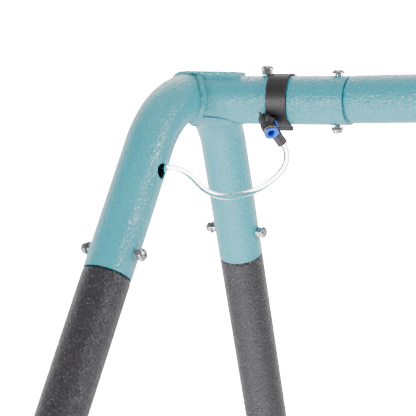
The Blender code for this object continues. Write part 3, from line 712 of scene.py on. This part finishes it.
def make_studio():
    make_world()
    area_light("right_strip", (0.947, -0.06, 0.31), 2.6, (0.25, 0.9), 60)
    area_light("front_strip", (-0.337, -0.926, -0.163), 2.6, (0.95, 0.10), 62)
    area_light("crown_rim", (-0.458, 0.698, 0.547), 2.4, (1.0, 0.5), 5)
    area_light("bounce", (0.1, -0.35, -0.93), 1.5, (2.0, 2.0), 28)
    area_light("overhead", (0.2, -0.3, 1.0), 2.4, (1.6, 1.6), 14)
    size = FLOOR_HALF
    corners = [(-size, -size, 0), (size, -size, 0), (size, size, 0), (-size, size, 0)]
    floor = put("floor", mesh_of("floor", (corners, [(0, 1, 2, 3)])))
    pale = Surface("pale_floor", (0.90, 0.90, 0.90), 0.9)
    pale.set(Emission_Color=(1, 1, 1, 1), Emission_Strength=FLOOR_GLOW)
    floor.data.materials.append(pale.made)


# Misting line


def eased(share):
    return share * share * (3 - 2 * share)


def hose_in_leg():
    """Behind the hole the hose turns down, passes beside the bolts, and turns out to the inlet."""
    hole_across, hole_down = 0.0235, LEG_HOLE - 0.0034
    hole_beside = 0.0022
    bend = hole_across - HOSE_ACROSS
    points = []
    for k in range(1, 7):
        a = radians(15 * k)
        across, down = hole_across - bend * sin(a), hole_down + bend * (1 - cos(a))
        points.append(in_leg(across, 0.0010 + 0.0002 * k, down))
    start, stop = hole_down + bend, INLET - HOSE_BEND
    for share in (0.25, 0.5, 0.75, 1.0):
        beside = hole_beside + (HOSE_BESIDE - hole_beside) * eased(share)
        points.append(in_leg(HOSE_ACROSS, beside, start + HOSE_SHIFT * share))
    straight = start + HOSE_SHIFT
    for k in range(1, 25):
        down = straight + (stop - HOSE_SHIFT - straight) * k / 24
        points.append(in_leg(HOSE_ACROSS, HOSE_BESIDE, down))
    for share in (0.25, 0.5, 0.75, 1.0):
        beside = HOSE_BESIDE * (1 - eased(share))
        points.append(in_leg(HOSE_ACROSS, beside, stop - HOSE_SHIFT * (1 - share)))
    for k in range(1, 7):
        a = radians(15 * k)
        across = HOSE_ACROSS + HOSE_BEND * (1 - cos(a))
        points.append(in_leg(across, 0, stop + HOSE_BEND * sin(a)))
    return [*points, in_leg(0.0225, 0, INLET)]


def make_hose():
    points = smooth([*(mist(p) for p in HOSE_ROUTE), *hose_in_leg()], 0.0025)
    curve = bpy.data.curves.new("mist_hose_clear", "CURVE")
    curve.dimensions = "3D"
    curve.bevel_depth = HOSE_R
    curve.bevel_resolution = 6
    curve.use_fill_caps = True
    spline = curve.splines.new("POLY")
    spline.points.add(len(points) - 1)
    for place, point in zip(spline.points, points):
        place.co = (*point, 1.0)
    spline.use_smooth = True
    curve.materials.append(FINISHES["clear_hose"])
    hose = put("mist_hose_clear", curve)
    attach(hose, "frame")
    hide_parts("mist_hose")


def make_clip():
    centre = stub_point(LEFT, sum(CLIP_X) / 2)
    inner = TUBE_R + GAP
    outer = inner + CLIP_WALL
    start, stop = radians(-94), radians(-350)
    count = 96
    angles = [start + (stop - start) * k / count for k in range(count + 1)]
    outside = [(outer * cos(a), outer * sin(a)) for a in angles]
    inside = [(inner * cos(a), inner * sin(a)) for a in reversed(angles)]

    def lip(angle, sign):
        """The turned-out lip's points, from the clip's outside round its tip to the inside."""
        at = Vector((cos(angle), sin(angle)))
        out = Vector((-at.y, at.x)) * sign
        turns = [radians(9 * k) for k in range(1, 9)]

        def at_turn(radius, b):
            return at * (outer + CLIP_FLARE - radius * cos(b)) + out * radius * sin(b)

        wide = CLIP_FLARE + CLIP_WALL
        tip = []
        for share in (0.25, 0.5, 0.75):
            past = turns[-1] + 0.10 * sin(pi * share)
            tip.append(at_turn(CLIP_FLARE + CLIP_WALL * share, past))
        far = [at_turn(CLIP_FLARE, b) for b in turns]
        near = [at_turn(wide, b) for b in reversed(turns)]
        return [tuple(p) for p in (*far, *tip, *near)]

    outline = [*outside, *lip(stop, -1), *inside, *reversed(lip(start, 1))]
    axis, square = stub_axis(LEFT), stub_square(LEFT)
    turn = Matrix((Y, square, axis)).transposed().to_4x4()
    place = Matrix.Translation(centre) @ turn
    points, faces = slab(outline, CLIP_X[1] - CLIP_X[0])
    for point in points:
        point.z -= CLIP_BOW * (point.y / outer) ** 2
    shape = placed((points, faces), place)
    piece("mist_clip_moulded", shape, "black_plastic", "frame", ["mist_clip"], bevel=0.0004)


def make_fitting():
    port, side_port = mist(PORT), mist(SIDE_PORT)
    top, tip = mist(STEM[0]), mist(STEM[1])
    stem = (tip - top).normalized()
    barrel = [(0, -0.0250), (0.0058, -0.0250), (0.0073, -0.0236)]
    for k in range(6):
        low = -0.0222 + 0.0026 * k
        barrel += [(0.0073, low), (0.0066, low + 0.0004), (0.0066, low + 0.0010), (0.0074, low + 0.0014)]
    barrel += [(0.0074, -0.0046), (0.0070, -0.0034), (0.0054, -0.0034), (0.0054, -0.0074), (0, -0.0074)]
    side = [(0, -0.0110), (0.0056, -0.0110), (0.0056, -0.0022), (0.0052, -0.0018)]
    side += [(0.0040, -0.0018), (0.0040, -0.0078), (0, -0.0078)]
    socket = [(0, -0.0043), (0.0067, -0.0043), (0.0068, 0.0008), (0.0064, 0.0012)]
    socket += [(0.0059, 0.0012), (0.0059, -0.0017), (0, -0.0017)]
    # A short moulded finger on the barrel's top that grips the clip.
    finger_route = [
        port - PORT_AXIS * 0.0175,
        mist((98.2, -31.0, -22.5)),
        mist((96.2, -31.6, -17.5)),
        mist((94.8, -32.0, -13.6)),
    ]
    finger = rod(smooth(finger_route, 0.0008), lambda k: 0.0042 - 0.00016 * k, 16)
    foot_route = [port - PORT_AXIS * 0.012, mist((103.0, -27.0, -18.5))]
    foot = rod(smooth(foot_route, 0.002), 0.0060, 20)
    shape = joined(
        placed(lathe(rounded(barrel), 48), along(port, PORT_AXIS)),
        placed(lathe(rounded(side), 40), along(side_port, SIDE_AXIS)),
        placed(lathe(rounded(socket), 40), along(top, stem)),
        finger,
        foot,
    )
    piece("fitting_body_moulded", shape, "black_plastic", "frame", ["fitting_body"])

    collet = [
        (0.0075, 0.0008), (0.0071, 0.0012), (0.0048, 0.0012), (0.0037, 0.0004), (0.0034, -0.0055),
        (COLLET_R, -0.0055), (COLLET_R, -0.0006), (0.0075, -0.0006),
    ]
    small = [(r * SIDE_COLLET_SCALE, max(h, -0.0045)) for r, h in collet]
    for name, profile, place in (
        ("collet_front", collet, along(port, PORT_AXIS)),
        ("collet_side", small, along(side_port, SIDE_AXIS)),
    ):
        shape = placed(lathe(rounded(profile, 0.0002), 48), place)
        piece(f"{name}_blue", shape, "blue_plastic", name, [name])
    ring = [(0.0073, -0.0020), (0.0056, -0.0020), (0.0056, -0.0031), (0.0073, -0.0031)]
    shape = placed(lathe(rounded(ring, 0.0002), 48), along(port, PORT_AXIS))
    piece("brass_ring_turned", shape, "brass", "frame", ["brass_ring"])

    length = (tip - top).length
    bore = HOSE_R + 0.0006
    sleeve = [
        (STEM_R, -0.0015), (STEM_R, length - 0.0030), (STEM_R * 0.98, length - 0.0017),
        (STEM_R * 0.91, length - 0.0006), (STEM_R * 0.82, length), (bore, length), (bore, -0.0015),
    ]
    shape = placed(lathe(rounded(sleeve, 0.0002), 48), along(top, stem))
    piece("hose_sleeve_moulded", shape, "sleeve_rubber", "frame", ["hose_sleeve"])

    face = TUBE_R + GAP
    barbs = [(0.0050, face + 0.034)]
    for k in range(3):
        high = face + 0.0335 - 0.0035 * k
        barbs += [(0.0054, high), (0.0068, high - 0.0030), (0.0056, high - 0.0032)]
    spigot = [
        *barbs, (0.0056, face + 0.0230), (0.0080, face + 0.0225), (0.0080, face + 0.0120),
        (0.0120, face + 0.0110), (0.0120, face), (LEG_HOLE_R - 0.0008, face),
        (LEG_HOLE_R - 0.0008, face - 0.0080), (HOSE_R + 0.0008, face - 0.0080),
        (HOSE_R + 0.0008, face + 0.034),
    ]
    place = along(leg_point(LEFT, FRONT, INLET), leg_side(LEFT, FRONT))
    shape = placed(lathe(rounded(spigot, 0.0002), 48), place)
    piece("hose_inlet_moulded", shape, "black_plastic", "frame", ["hose_inlet"])


# Stand


def bead(route, radius, closed=False, rough=1.0):
    """A weld bead: a line of small overlapping ripples."""

    def ripple(k):
        wander = noise.noise(route[k] * 220) * 0.18
        return radius * (1 + rough * (0.10 * sin(k * 1.9) + wander))

    return rod(route, ripple, 14, closed)


def distance_to(route, point):
    best = 1.0
    for a, b in zip(route, route[1:]):
        way = b - a
        share = min(1, max(0, (point - a).dot(way) / way.length_squared))
        best = min(best, (a + way * share - point).length)
    return best


def stub_seam(end, route, further):
    """Where the stub's skin leaves the bent tube's, moved that much further along the stub."""
    made = []
    count = 140
    square = stub_square(end)
    for k in range(count):
        a = 2 * pi * k / count
        aside = (Y * cos(a) + square * sin(a)) * TUBE_R
        reach = 0.060
        while reach > 0.0045 and distance_to(route, stub_point(end, reach) + aside) > TUBE_R:
            reach -= 0.0006
        made.append(stub_point(end, reach + further) + aside)
    return made


def saddle_shape(end):
    """The strap over the crown and the stub, bent down over the crown's far side."""
    top = [(-0.0172, 0.0243), (-0.0160, 0.0262), (-0.0130, 0.0285), (-0.0098, 0.0300), (-0.0060, 0.0307)]
    top += [(0.002, 0.0308), (0.030, 0.0298), (0.0578, 0.0286), (0.0585, 0.0280)]
    under = [(0.0585, 0.0215), (0.010, 0.0200), (-0.013, 0.0175)]
    outline = [(-end * x, z) for x, z in top + under]
    if end == LEFT:
        outline.reverse()
    place = Matrix.Translation(apex_point(end, 0, 0, 0)) @ Matrix.Rotation(pi / 2, 4, "X")
    points, faces = slab(outline, 0.022)
    return placed((points, faces), place)


def weld_pad(end, row):
    """The low pad of weld metal under the stub, where it meets the bent tube's far side."""
    radius, proud = 0.0150, 0.0016
    angle = radians(75)
    aside = Y * row * cos(angle) - stub_square(end) * sin(angle)
    count = 40
    route = []
    for k in range(count + 1):
        route.append(stub_point(end, 0.010 + 0.048 * k / count) + aside * (TUBE_R - radius + proud))

    def width(k):
        tail = max(0, (k / count - 0.70) / 0.30)
        return radius - proud * 1.2 * tail**2

    return rod(route, width, 48)


def pad_edge(end, row):
    """The line of weld along the pad's upper edge, down to where it ends under the stub."""
    made = []
    for k in range(61):
        share = k / 60
        a = radians(47 + 30 * share**4)
        aside = Y * row * cos(a) - stub_square(end) * sin(a)
        made.append(stub_point(end, 0.014 + 0.045 * share) + aside * (TUBE_R + 0.0001))
    return made


def saddle_beads(end):
    """The welds along the strap's two sides and across its end on the stub."""

    def skin_height(y):
        return sqrt(TUBE_R**2 - y * y)

    beads = []
    for y in (-SADDLE_EDGE, SADDLE_EDGE):
        line = []
        for k in range(41):
            x = SADDLE_START + SADDLE_RUN * k / 40
            rise = STUB_RISE if x > -SADDLE_START else CROWN - 0.001
            z = skin_height(y) + rise - max(0, x) * sin(STUB_DROOP) + 0.0004
            line.append(apex_point(end, x, y, z))
        beads.append(bead(line, 0.0012, rough=0.6))
    x = SADDLE_START + SADDLE_RUN + 0.001
    line = []
    for k in range(21):
        y = SADDLE_EDGE * (k / 10 - 1)
        z = skin_height(y) + STUB_RISE - x * sin(STUB_DROOP) + 0.0003
        line.append(apex_point(end, x, y, z))
    return [*beads, bead(line, 0.0012)]


def make_bracket(end):
    side = side_name(end)
    route = bend_route(end, radians(2.2))
    tube = pipe(route, TUBE_R, TUBE_R - WALL, 80)
    start = 0.004
    stub_route = [stub_point(end, start + (STUB_LENGTH - start) * k / 40) for k in range(41)]
    stub = rod(stub_route, TUBE_R, 80)
    seam = bead(stub_seam(end, route, 0.0008), 0.0036, closed=True, rough=0.3)
    toe = bead(stub_seam(end, route, 0.0036), 0.0022, closed=True, rough=0.5)
    pads = [weld_pad(end, row) for row in (FRONT, REAR)]
    edges = [bead(pad_edge(end, row), 0.0014, rough=0.8) for row in (FRONT, REAR)]
    shape = joined(tube, stub, saddle_shape(end), seam, toe, *pads, *edges, *saddle_beads(end))
    name = f"apex_bracket_{side}"
    bracket = piece(f"{name}_coated", shape, "teal", "frame", [name], crease=45)
    if end == LEFT:
        cut_leg_hole(bracket)


def cut_leg_hole(bracket):
    """The hole in the front tube that the hose goes in by."""
    profile = [(0, 0.005), (LEG_HOLE_R, 0.005), (LEG_HOLE_R, 0.04), (0, 0.04)]
    place = along(leg_point(LEFT, FRONT, LEG_HOLE), leg_side(LEFT, FRONT))
    mesh = mesh_of("leg_hole", placed(lathe(profile, 64), place))
    made = bmesh.new()
    made.from_mesh(mesh)
    bmesh.ops.recalc_face_normals(made, faces=made.faces)
    made.to_mesh(mesh)
    made.free()
    cutter = put("leg_hole", mesh)
    step = bracket.modifiers.new("Hole", "BOOLEAN")
    step.operation = "DIFFERENCE"
    step.use_self = True
    step.object = cutter
    bpy.context.view_layer.update()
    graph = bpy.context.evaluated_depsgraph_get()
    result = bpy.data.meshes.new_from_object(bracket.evaluated_get(graph))
    bracket.modifiers.clear()
    bracket.data = result
    result.shade_smooth()
    result.set_sharp_from_angle(angle=radians(45))
    bpy.data.objects.remove(cutter, do_unlink=True)


def make_leg(end, row):
    name = f"leg_{row_name(row)}_{side_name(end)}"
    bottom = leg_down_to(end, row, LEG_END_Z)
    length = bottom - COLLAR
    plug_r = TUBE_R - WALL - 0.0007
    profile = [
        (plug_r, length + PLUG), (plug_r, length - GAP), (TUBE_R - 0.0012, length - 0.0012),
        (TUBE_R - 0.0003, length - 0.0030), (TUBE_R, length - SHOULDER), (TUBE_R, 0),
        (TUBE_R - WALL, 0), (TUBE_R - WALL, length - SHOULDER - 0.002),
        (plug_r - WALL, length - 0.002), (plug_r - WALL, length + PLUG),
    ]
    place = along(leg_point(end, row, bottom), leg_up(end, row))
    shape = placed(lathe(profile, 80), place)
    piece(f"{name}_coated", shape, "charcoal", "frame", [name])


def make_foot(end, row):
    name = f"foot_cap_{row_name(row)}_{side_name(end)}"
    place = along(leg_point(end, row, leg_down_to(end, row, LEG_END_Z)), leg_up(end, row))
    inner = TUBE_R + 0.0008
    profile = [
        (0, -0.0003), (inner, -0.0003), (inner, FOOT_UP), (inner + 0.0012, FOOT_UP),
        (FOOT_R - 0.0004, FOOT_UP - 0.0025), (FOOT_R, FOOT_UP - 0.0040),
    ]
    for k in range(4):
        low = FOOT_UP - 0.010 - 0.006 * k
        groove = FOOT_R - 0.0007
        profile += [(FOOT_R, low), (groove, low - 0.0010), (groove, low - 0.0022), (FOOT_R, low - 0.0032)]
    profile += [(FOOT_R, -0.040), (0, -0.040)]
    mesh = mesh_of(name, placed(lathe(profile, 64), place))
    made = bmesh.new()
    made.from_mesh(mesh)
    everything = [*made.verts, *made.edges, *made.faces]
    cut = bmesh.ops.bisect_plane(
        made, geom=everything, plane_co=(0, 0, 0), plane_no=(0, 0, 1), clear_inner=True
    )
    rim = [e for e in cut["geom_cut"] if isinstance(e, bmesh.types.BMEdge)]
    bmesh.ops.edgeloop_fill(made, edges=rim)
    made.verts.index_update()
    shape = [v.co.copy() for v in made.verts], [tuple(v.index for v in f.verts) for f in made.faces]
    made.free()
    piece(f"{name}_moulded", shape, "rubber", "frame", [name])


def make_beam():
    joint = APEX_X - STUB_LENGTH * cos(STUB_DROOP) - 0.0008
    inner = BEAM_R - WALL
    centre_r = inner - 0.0006
    outer_end = [
        (BEAM_PLUG_R, joint + BEAM_PLUG), (BEAM_PLUG_R, joint + 0.0004),
        (BEAM_R - 0.0014, joint - 0.0006), (BEAM_R - 0.0004, joint - 0.0024),
        (BEAM_R, joint - SHOULDER),
    ]
    inner_end = [
        (inner, joint - SHOULDER - 0.002), (BEAM_PLUG_R - WALL, joint - 0.002),
        (BEAM_PLUG_R - WALL, joint + BEAM_PLUG),
    ]
    socket = [(BEAM_R, 0.0), (inner, 0.0)]
    plug = [
        (BEAM_R, SHOULDER), (BEAM_R - 0.0010, 0.0016), (centre_r, GAP), (centre_r, -CENTRE_PLUG),
        (centre_r - WALL, -CENTRE_PLUG), (centre_r - WALL, 0.004), (inner, 0.008),
    ]
    for end, middle in ((LEFT, socket), (RIGHT, plug)):
        name = f"beam_half_{side_name(end)}"
        shape = placed(lathe(outer_end + middle + inner_end, 80), along(beam_point(0), end * X))
        piece(f"{name}_coated", shape, "teal", "frame", [name])


def bolt_shape(high, low, stand):
    """A button head with a hex socket, the shank, and what the head stands on."""
    tall = high + HEAD_H
    socket, under = tall - 0.0022, tall - 0.0040
    body = [
        (0, socket), (0.0021, socket), (0.0023, tall), (HEAD_R * 0.62, tall),
        (HEAD_R * 0.84, tall - 0.0010), (HEAD_R * 0.97, tall - 0.0026), (HEAD_R, tall - 0.0036),
        (HEAD_R - 0.0003, under), (SHANK_R, under), (SHANK_R, low - 0.0040), (0, low - 0.0040),
    ]
    base = high - stand + GAP
    top = min(base + 0.0010, under - 0.0001)
    washer = [(0.0060, base), (0.0060, top), (SHANK_R, top), (SHANK_R, base)]
    shapes = [lathe(rounded(body, 0.0002), 40), lathe(washer, 40)]
    if under - top > 0.001:
        neck = [(0.0059, top + 0.0002), (0.0059, under - 0.0002), (SHANK_R, under - 0.0002)]
        neck.append((SHANK_R, top + 0.0002))
        shapes.append(lathe(neck, 6))
    return joined(*shapes)


def nut_shape(low, stand):
    """A domed cap nut: the spacer that it stands on, a washer face, a hexagon and a dome."""
    base = low - GAP
    bore = SHANK_R + GAP
    wide = HEAD_R * 0.92
    flange = [
        (bore, base), (HEAD_R * 1.04, base), (HEAD_R * 1.04, base - 0.0010), (bore, base - 0.0010),
    ]
    hexagon = [
        (bore, base - 0.0012), (wide * 0.97, base - 0.0012), (wide, base - 0.0016),
        (wide, base - 0.0046), (wide * 0.95, base - 0.0052), (bore, base - 0.0052),
    ]
    dome_r = wide * 0.82
    dome = [(0, base - 0.0048), (dome_r, base - 0.0048), (dome_r, base - 0.0056)]
    for k in range(1, 8):
        a = pi / 2 * k / 8
        dome.append((dome_r * cos(a), base - 0.0056 - 0.0029 * sin(a)))
    dome.append((0, base - NUT_H))
    shapes = [lathe(flange, 40), lathe(hexagon, 6), lathe(dome, 40)]
    if stand:
        spacer = [(bore, low + stand - GAP), (0.0052, low + stand - GAP), (0.0052, base), (bore, base)]
        shapes.append(lathe(spacer, 40))
    return joined(*shapes)


def make_bolt(name, point, axis, faces, stands=(0.0, 0.0), nut=True):
    """faces are the heights that its head and its nut bear on, and stands how far off the tube they are."""
    place = along(point, axis)
    high, low = faces
    shape = placed(bolt_shape(high, low, stands[0]), place)
    piece(f"{name}_zinc", shape, "zinc", "frame", [name])
    if nut:
        shape = placed(nut_shape(low, stands[1]), place)
        piece(f"{name}_cap_nut", shape, "zinc", "frame", [f"{name}_nut"])


def make_fasteners():
    for end in (LEFT, RIGHT):
        side = side_name(end)
        for reach, where, stand in zip(STUB_BOLTS, ("inner", "outer"), STUB_STANDS):
            name = f"beam_bolt_{where}_{side}"
            point = stub_point(end, reach)
            faces = TUBE_R + stand, -TUBE_R
            make_bolt(name, point, stub_square(end), faces, (stand, 0.0))
        for row in (FRONT, REAR):
            name = f"leg_bolt_{row_name(row)}_{side}"
            point = leg_point(end, row, LEG_BOLTS[row])
            faces = TUBE_R + LEG_HEAD_STAND, -TUBE_R - LEG_NUT_STAND
            stands = LEG_HEAD_STAND, LEG_NUT_STAND
            make_bolt(name, point, leg_side(end, row), faces, stands)
            name = f"brace_bolt_{row_name(row)}_{side}"
            faces = BRACE_SET_IN + 2 * BRACE_R + BRACE_BOLT_OUT, -TUBE_R - 0.002
            make_bolt(name, brace_end(end, row), -end * X, faces, nut=False)
    centre = beam_point(-CENTRE_PLUG / 2)
    make_bolt("beam_centre_bolt", centre, Z, (BEAM_R, -BEAM_R))


def make_brace(end):
    side = side_name(end)
    front, rear = brace_end(end, FRONT), brace_end(end, REAR)
    set_in = -end * X * (BRACE_SET_IN + BRACE_BOLT_OUT + BRACE_R)
    middle = (front + rear) / 2 + set_in
    half = (rear.y - front.y) / 2
    route = [middle + Y * (half - 0.03) * (k / 20 - 1) for k in range(41)]
    shapes = [rod(route, BRACE_R, 48)]
    for row, centre in ((FRONT, front), (REAR, rear)):
        r = BRACE_R + GAP
        corner = 0.004
        outline = []
        for sx, sy, a in ((1, 1, 0), (-1, 1, 90), (-1, -1, 180), (1, -1, 270)):
            for k in range(6):
                t = radians(a + 90 * k / 5)
                x, y = sx * (r - corner), sy * (r - corner)
                outline.append((x + corner * cos(t), y + corner * sin(t)))
        spot = centre + set_in - Y * row * 0.018
        stand = Matrix.Translation(spot) @ Matrix.Rotation(pi / 2, 4, "X")
        shapes.append(placed(slab(outline, 0.066), stand))
        weld = spot - Y * row * 0.033
        shapes.append(bead(circle(weld, BRACE_R + 0.0002, X, Z, 48), 0.0016, closed=True))
    name = f"cross_brace_{side}"
    piece(f"{name}_coated", joined(*shapes), "charcoal", "frame", [name])


# Hammock


def make_hook(end):
    side = side_name(end)
    centre = Vector((end * HOOK_X, 0, EYE_Z))
    ring = rod(circle(centre, EYE_R, Y, Z, 64), EYE_ROD, 20, closed=True)
    beam_z = beam_point(0).z
    low, high = EYE_Z + EYE_R + 0.0007, beam_z + BEAM_R + 0.012
    under = beam_z - BEAM_R - GAP
    profile = [
        (0, low), (EYE_ROD * 1.1, low), (EYE_ROD * 1.1, under - 0.005), (0.009, under - 0.004),
        (0.009, under), (EYE_ROD, under),
    ]
    for k in range(12):
        z = high - 0.0125 + 0.001 * k
        profile += [(EYE_ROD, z), (EYE_ROD - 0.0004, z + 0.0005)]
    profile += [(EYE_ROD - 0.0005, high), (0, high)]
    shank = placed(lathe(profile, 32), Matrix.Translation((centre.x, 0, 0)))
    name = f"beam_eye_{side}"
    piece(f"{name}_zinc", joined(ring, shank), "zinc", "frame", [name])
    over = beam_z + BEAM_R + GAP
    bore = EYE_ROD + GAP
    nut = [(0.0074, over + 0.0062), (0.0078, over + 0.0058), (0.0078, over + 0.0016)]
    nut += [(bore, over + 0.0016), (bore, over + 0.0062)]
    washer = [(0.0080, over + 0.0013), (0.0080, over), (bore, over), (bore, over + 0.0013)]
    shape = placed(joined(lathe(nut, 6), lathe(washer, 40)), Matrix.Translation((centre.x, 0, 0)))
    name = f"beam_eye_nut_{side}"
    piece(f"{name}_zinc", shape, "zinc", "frame", [name])


def make_link(end):
    side = side_name(end)
    down, top = pull(end), link_centre(end)
    across = Y.cross(down) * end
    bottom = top + down * LINK_STRAIGHT
    arcs = []
    for centre, sign in ((top, -1), (bottom, 1)):
        arc = []
        for k in range(25):
            a = pi * k / 24
            arc.append(centre + across * LINK_R * cos(a) + down * sign * LINK_R * sin(a))
        arcs.append(arc)
    gate_top = top + across * LINK_R + down * 0.004
    gate_bottom = bottom + across * LINK_R - down * 0.004
    spine = [arcs[0][-1].lerp(arcs[1][-1], k / 10) for k in range(1, 10)]
    route = [gate_top, *arcs[0], *spine, *reversed(arcs[1]), gate_bottom]
    link = rod(route, LINK_ROD, 24)
    piece(f"snap_link_{side}_zinc", link, "zinc", "hammock", [f"snap_link_{side}"])
    lean = (gate_bottom - gate_top).normalized()
    ends = [gate_top + lean * GATE_GAP, gate_bottom - lean * GATE_GAP]
    route = [ends[0].lerp(ends[1], k / 30) for k in range(31)]

    def shape_of(k):
        return LINK_ROD * (0.62 if k in (0, 30) else 0.85 if 2 < k < 28 else 0.78)

    gate = rod(route, shape_of, 24)
    name = f"snap_gate_{side}"
    piece(f"{name}_zinc", gate, "zinc", f"gate_{side}", [name])


def make_ring(end):
    side = side_name(end)
    route = circle(ring_centre(end), RING_R, Y, pull(end), 72)
    shape = rod(route, RING_ROD, 24, closed=True)
    piece(f"clew_ring_{side}_zinc", shape, "zinc", "hammock", [f"clew_ring_{side}"])


def make_bar(end):
    tip = 0.006
    profile = [(0, BAR_HALF)]
    for k in range(7):
        a = pi / 2 * k / 6
        profile.append((BAR_R - tip + tip * sin(a), BAR_HALF - tip + tip * cos(a)))
    profile += [(BAR_R, BAR_HALF * (1 - k / 10)) for k in range(1, 20)]
    profile += [(r, -h) for r, h in reversed(profile[:8])]
    shape = placed(lathe(profile, 48), along(Vector((end * BAR_X, 0, BAR_Z)), Y))
    name = f"spreader_bar_{side_name(end)}"
    piece(f"{name}_turned", shape, "wood", "hammock", [name])


def rope_leg(end, row):
    down = pull(end)
    normal = Y.cross(down) * row
    low_rod = ring_centre(end) + down * RING_R
    turn_r = RING_ROD + ROPE_R + 0.0012

    def by_ring(out, aside, below):
        return low_rod + normal * out + Y * row * aside + down * below

    hole = rope_hole(end, row * ROPE_Y)
    over_bar = hole - down * (BAR_R + 0.010)
    beside = by_ring(turn_r * 0.9, 0.0110, 0.0140)
    points = [hole + down * (BAR_R + 0.012), hole + down * BAR_R, over_bar]
    shares = (0.015, 0.035, 0.07, 0.14, 0.3, 0.55, 0.8, 0.92, 0.965, 0.985)
    points += [over_bar.lerp(beside, share) for share in shares]
    points += [beside, by_ring(turn_r, 0.0040, 0.0030)]
    points += [by_ring(turn_r * 0.707, 0.0010, -turn_r * 0.707)]
    return points


def knot(centre, axis):
    """A small overhand knot of the rope."""
    place = along(centre, axis)
    route = []
    for k in range(60):
        t = 2 * pi * k / 60
        x, y = sin(t) + 2 * sin(2 * t), cos(t) - 2 * cos(2 * t)
        local = Vector((x, y, -sin(3 * t)))
        route.append(place @ (local * 0.0015))
    return rod(route, ROPE_R * 0.72, 12, closed=True)


def laid(route, radius, sides=18, pitch=11):
    """A rope's skin: three strands that turn once in that many rings."""
    points = []
    for k, (centre, (a, b)) in enumerate(zip(route, frames_along(route))):
        for j in range(sides):
            t = 2 * pi * j / sides
            lobe = abs(cos(1.5 * t - pi * k / pitch * 1.5))
            r = radius * (0.84 + 0.20 * lobe)
            points.append(centre + a * r * cos(t) + b * r * sin(t))
    faces = wall(len(route), sides)
    faces.append(tuple(range(sides))[::-1])
    faces.append(tuple(range(len(points) - sides, len(points))))
    return points, faces


def make_rope(end):
    crown = ring_centre(end) + pull(end) * (RING_R - RING_ROD - ROPE_R - 0.0012)
    line = smooth([*rope_leg(end, FRONT), crown, *reversed(rope_leg(end, REAR))], 0.0022)
    name = f"bridle_rope_{side_name(end)}"
    rope = piece(f"{name}_laid", laid(line, ROPE_R), "rope", "hammock", [name], crease=70)
    below = pull(end) * (BAR_R + 0.0085)
    knots = joined(*[knot(rope_hole(end, y) + below, pull(end)) for y in (-ROPE_Y, ROPE_Y)])
    tied = piece(f"{name}_knots", knots, "rope", "hammock", [])


def make_cloth():
    """The sling as a thin sheet with wrinkles, hems along its sides and a sleeve round each bar."""
    inner = (BAR_R + GAP) / cos(pi / 16)
    outer = inner + SLEEVE_WALL
    mid = (inner + outer) / 2
    low = BAR_Z - CLOTH_SAG

    def height(x):
        return low + CLOTH_SAG * (x / BAR_X) ** 2

    reach = BAR_X
    while hypot(reach - BAR_X, height(reach) - BAR_Z) < mid:
        reach -= 0.0001
    profile = []
    for k in range(141):
        x = reach * (k / 70 - 1)
        slope = 2 * CLOTH_SAG * x / BAR_X**2
        profile.append((Vector((x, height(x))), Vector((-slope, 1)).normalized()))

    def sleeve(end):
        start = atan2(height(reach) - BAR_Z, reach - BAR_X)
        made = []
        for k in range(1, 40):
            a = start + 2 * pi * k / 40
            way = Vector((cos(a), sin(a)))
            place = Vector((end * (BAR_X + mid * way.x), BAR_Z + mid * way.y))
            made.append((place, Vector((end * way.x, way.y))))
        return made

    across = 90
    points, faces = [], []

    def strip(rows, round_bar=False):
        start = len(points)
        for place, normal in rows:
            for i in range(across + 1):
                y = CLOTH_HALF * (2 * i / across - 1)
                edge = 1 - abs(y) / CLOTH_HALF
                near_bar = 0 if round_bar else min(1, abs(abs(place.x) - BAR_X) / 0.08)
                fold = noise.noise(Vector((place.x * 4, y * 22, 3.1))) * 0.0045
                fold += noise.noise(Vector((place.x * 14, y * 9, 7.7))) * 0.0022
                fold *= near_bar * min(1, edge * 12 + 0.25)
                points.append(Vector((place.x + normal.x * fold, y, place.y + normal.y * fold)))
        for j in range(len(rows) - 1):
            for i in range(across):
                a = start + j * (across + 1) + i
                faces.append((a, a + 1, a + across + 2, a + across + 1))

    strip(profile)
    for end, root in ((LEFT, profile[0]), (RIGHT, profile[-1])):
        strip([root, *sleeve(end), root], round_bar=True)
    sheet = points, faces
    cloth = piece("sling_fabric_canvas", sheet, "cloth", "hammock", ["sling_fabric"], crease=60)
    thick = cloth.modifiers.new("Thickness", "SOLIDIFY")
    thick.thickness = 0.0016
    thick.offset = 0

    hems = []
    for y in (-CLOTH_HALF + 0.004, CLOTH_HALF - 0.004):
        route = [Vector((p.x, y, p.y)) for p, _ in profile[4:-4]]
        hems.append(rod(route, 0.0022, 12))
    hem = piece("sling_hem_cord", joined(*hems), "rope", "hammock", [])


make_camera()
make_materials()
make_hose()
for stand_end in (LEFT, RIGHT):
    make_rope(stand_end)
make_studio()
make_clip()
make_fitting()
for stand_end in (LEFT, RIGHT):
    make_bracket(stand_end)
    make_brace(stand_end)
    for leg_row in (FRONT, REAR):
        make_leg(stand_end, leg_row)
        make_foot(stand_end, leg_row)
    make_hook(stand_end)
    make_link(stand_end)
    make_ring(stand_end)
    make_bar(stand_end)
make_beam()
make_fasteners()
make_cloth()
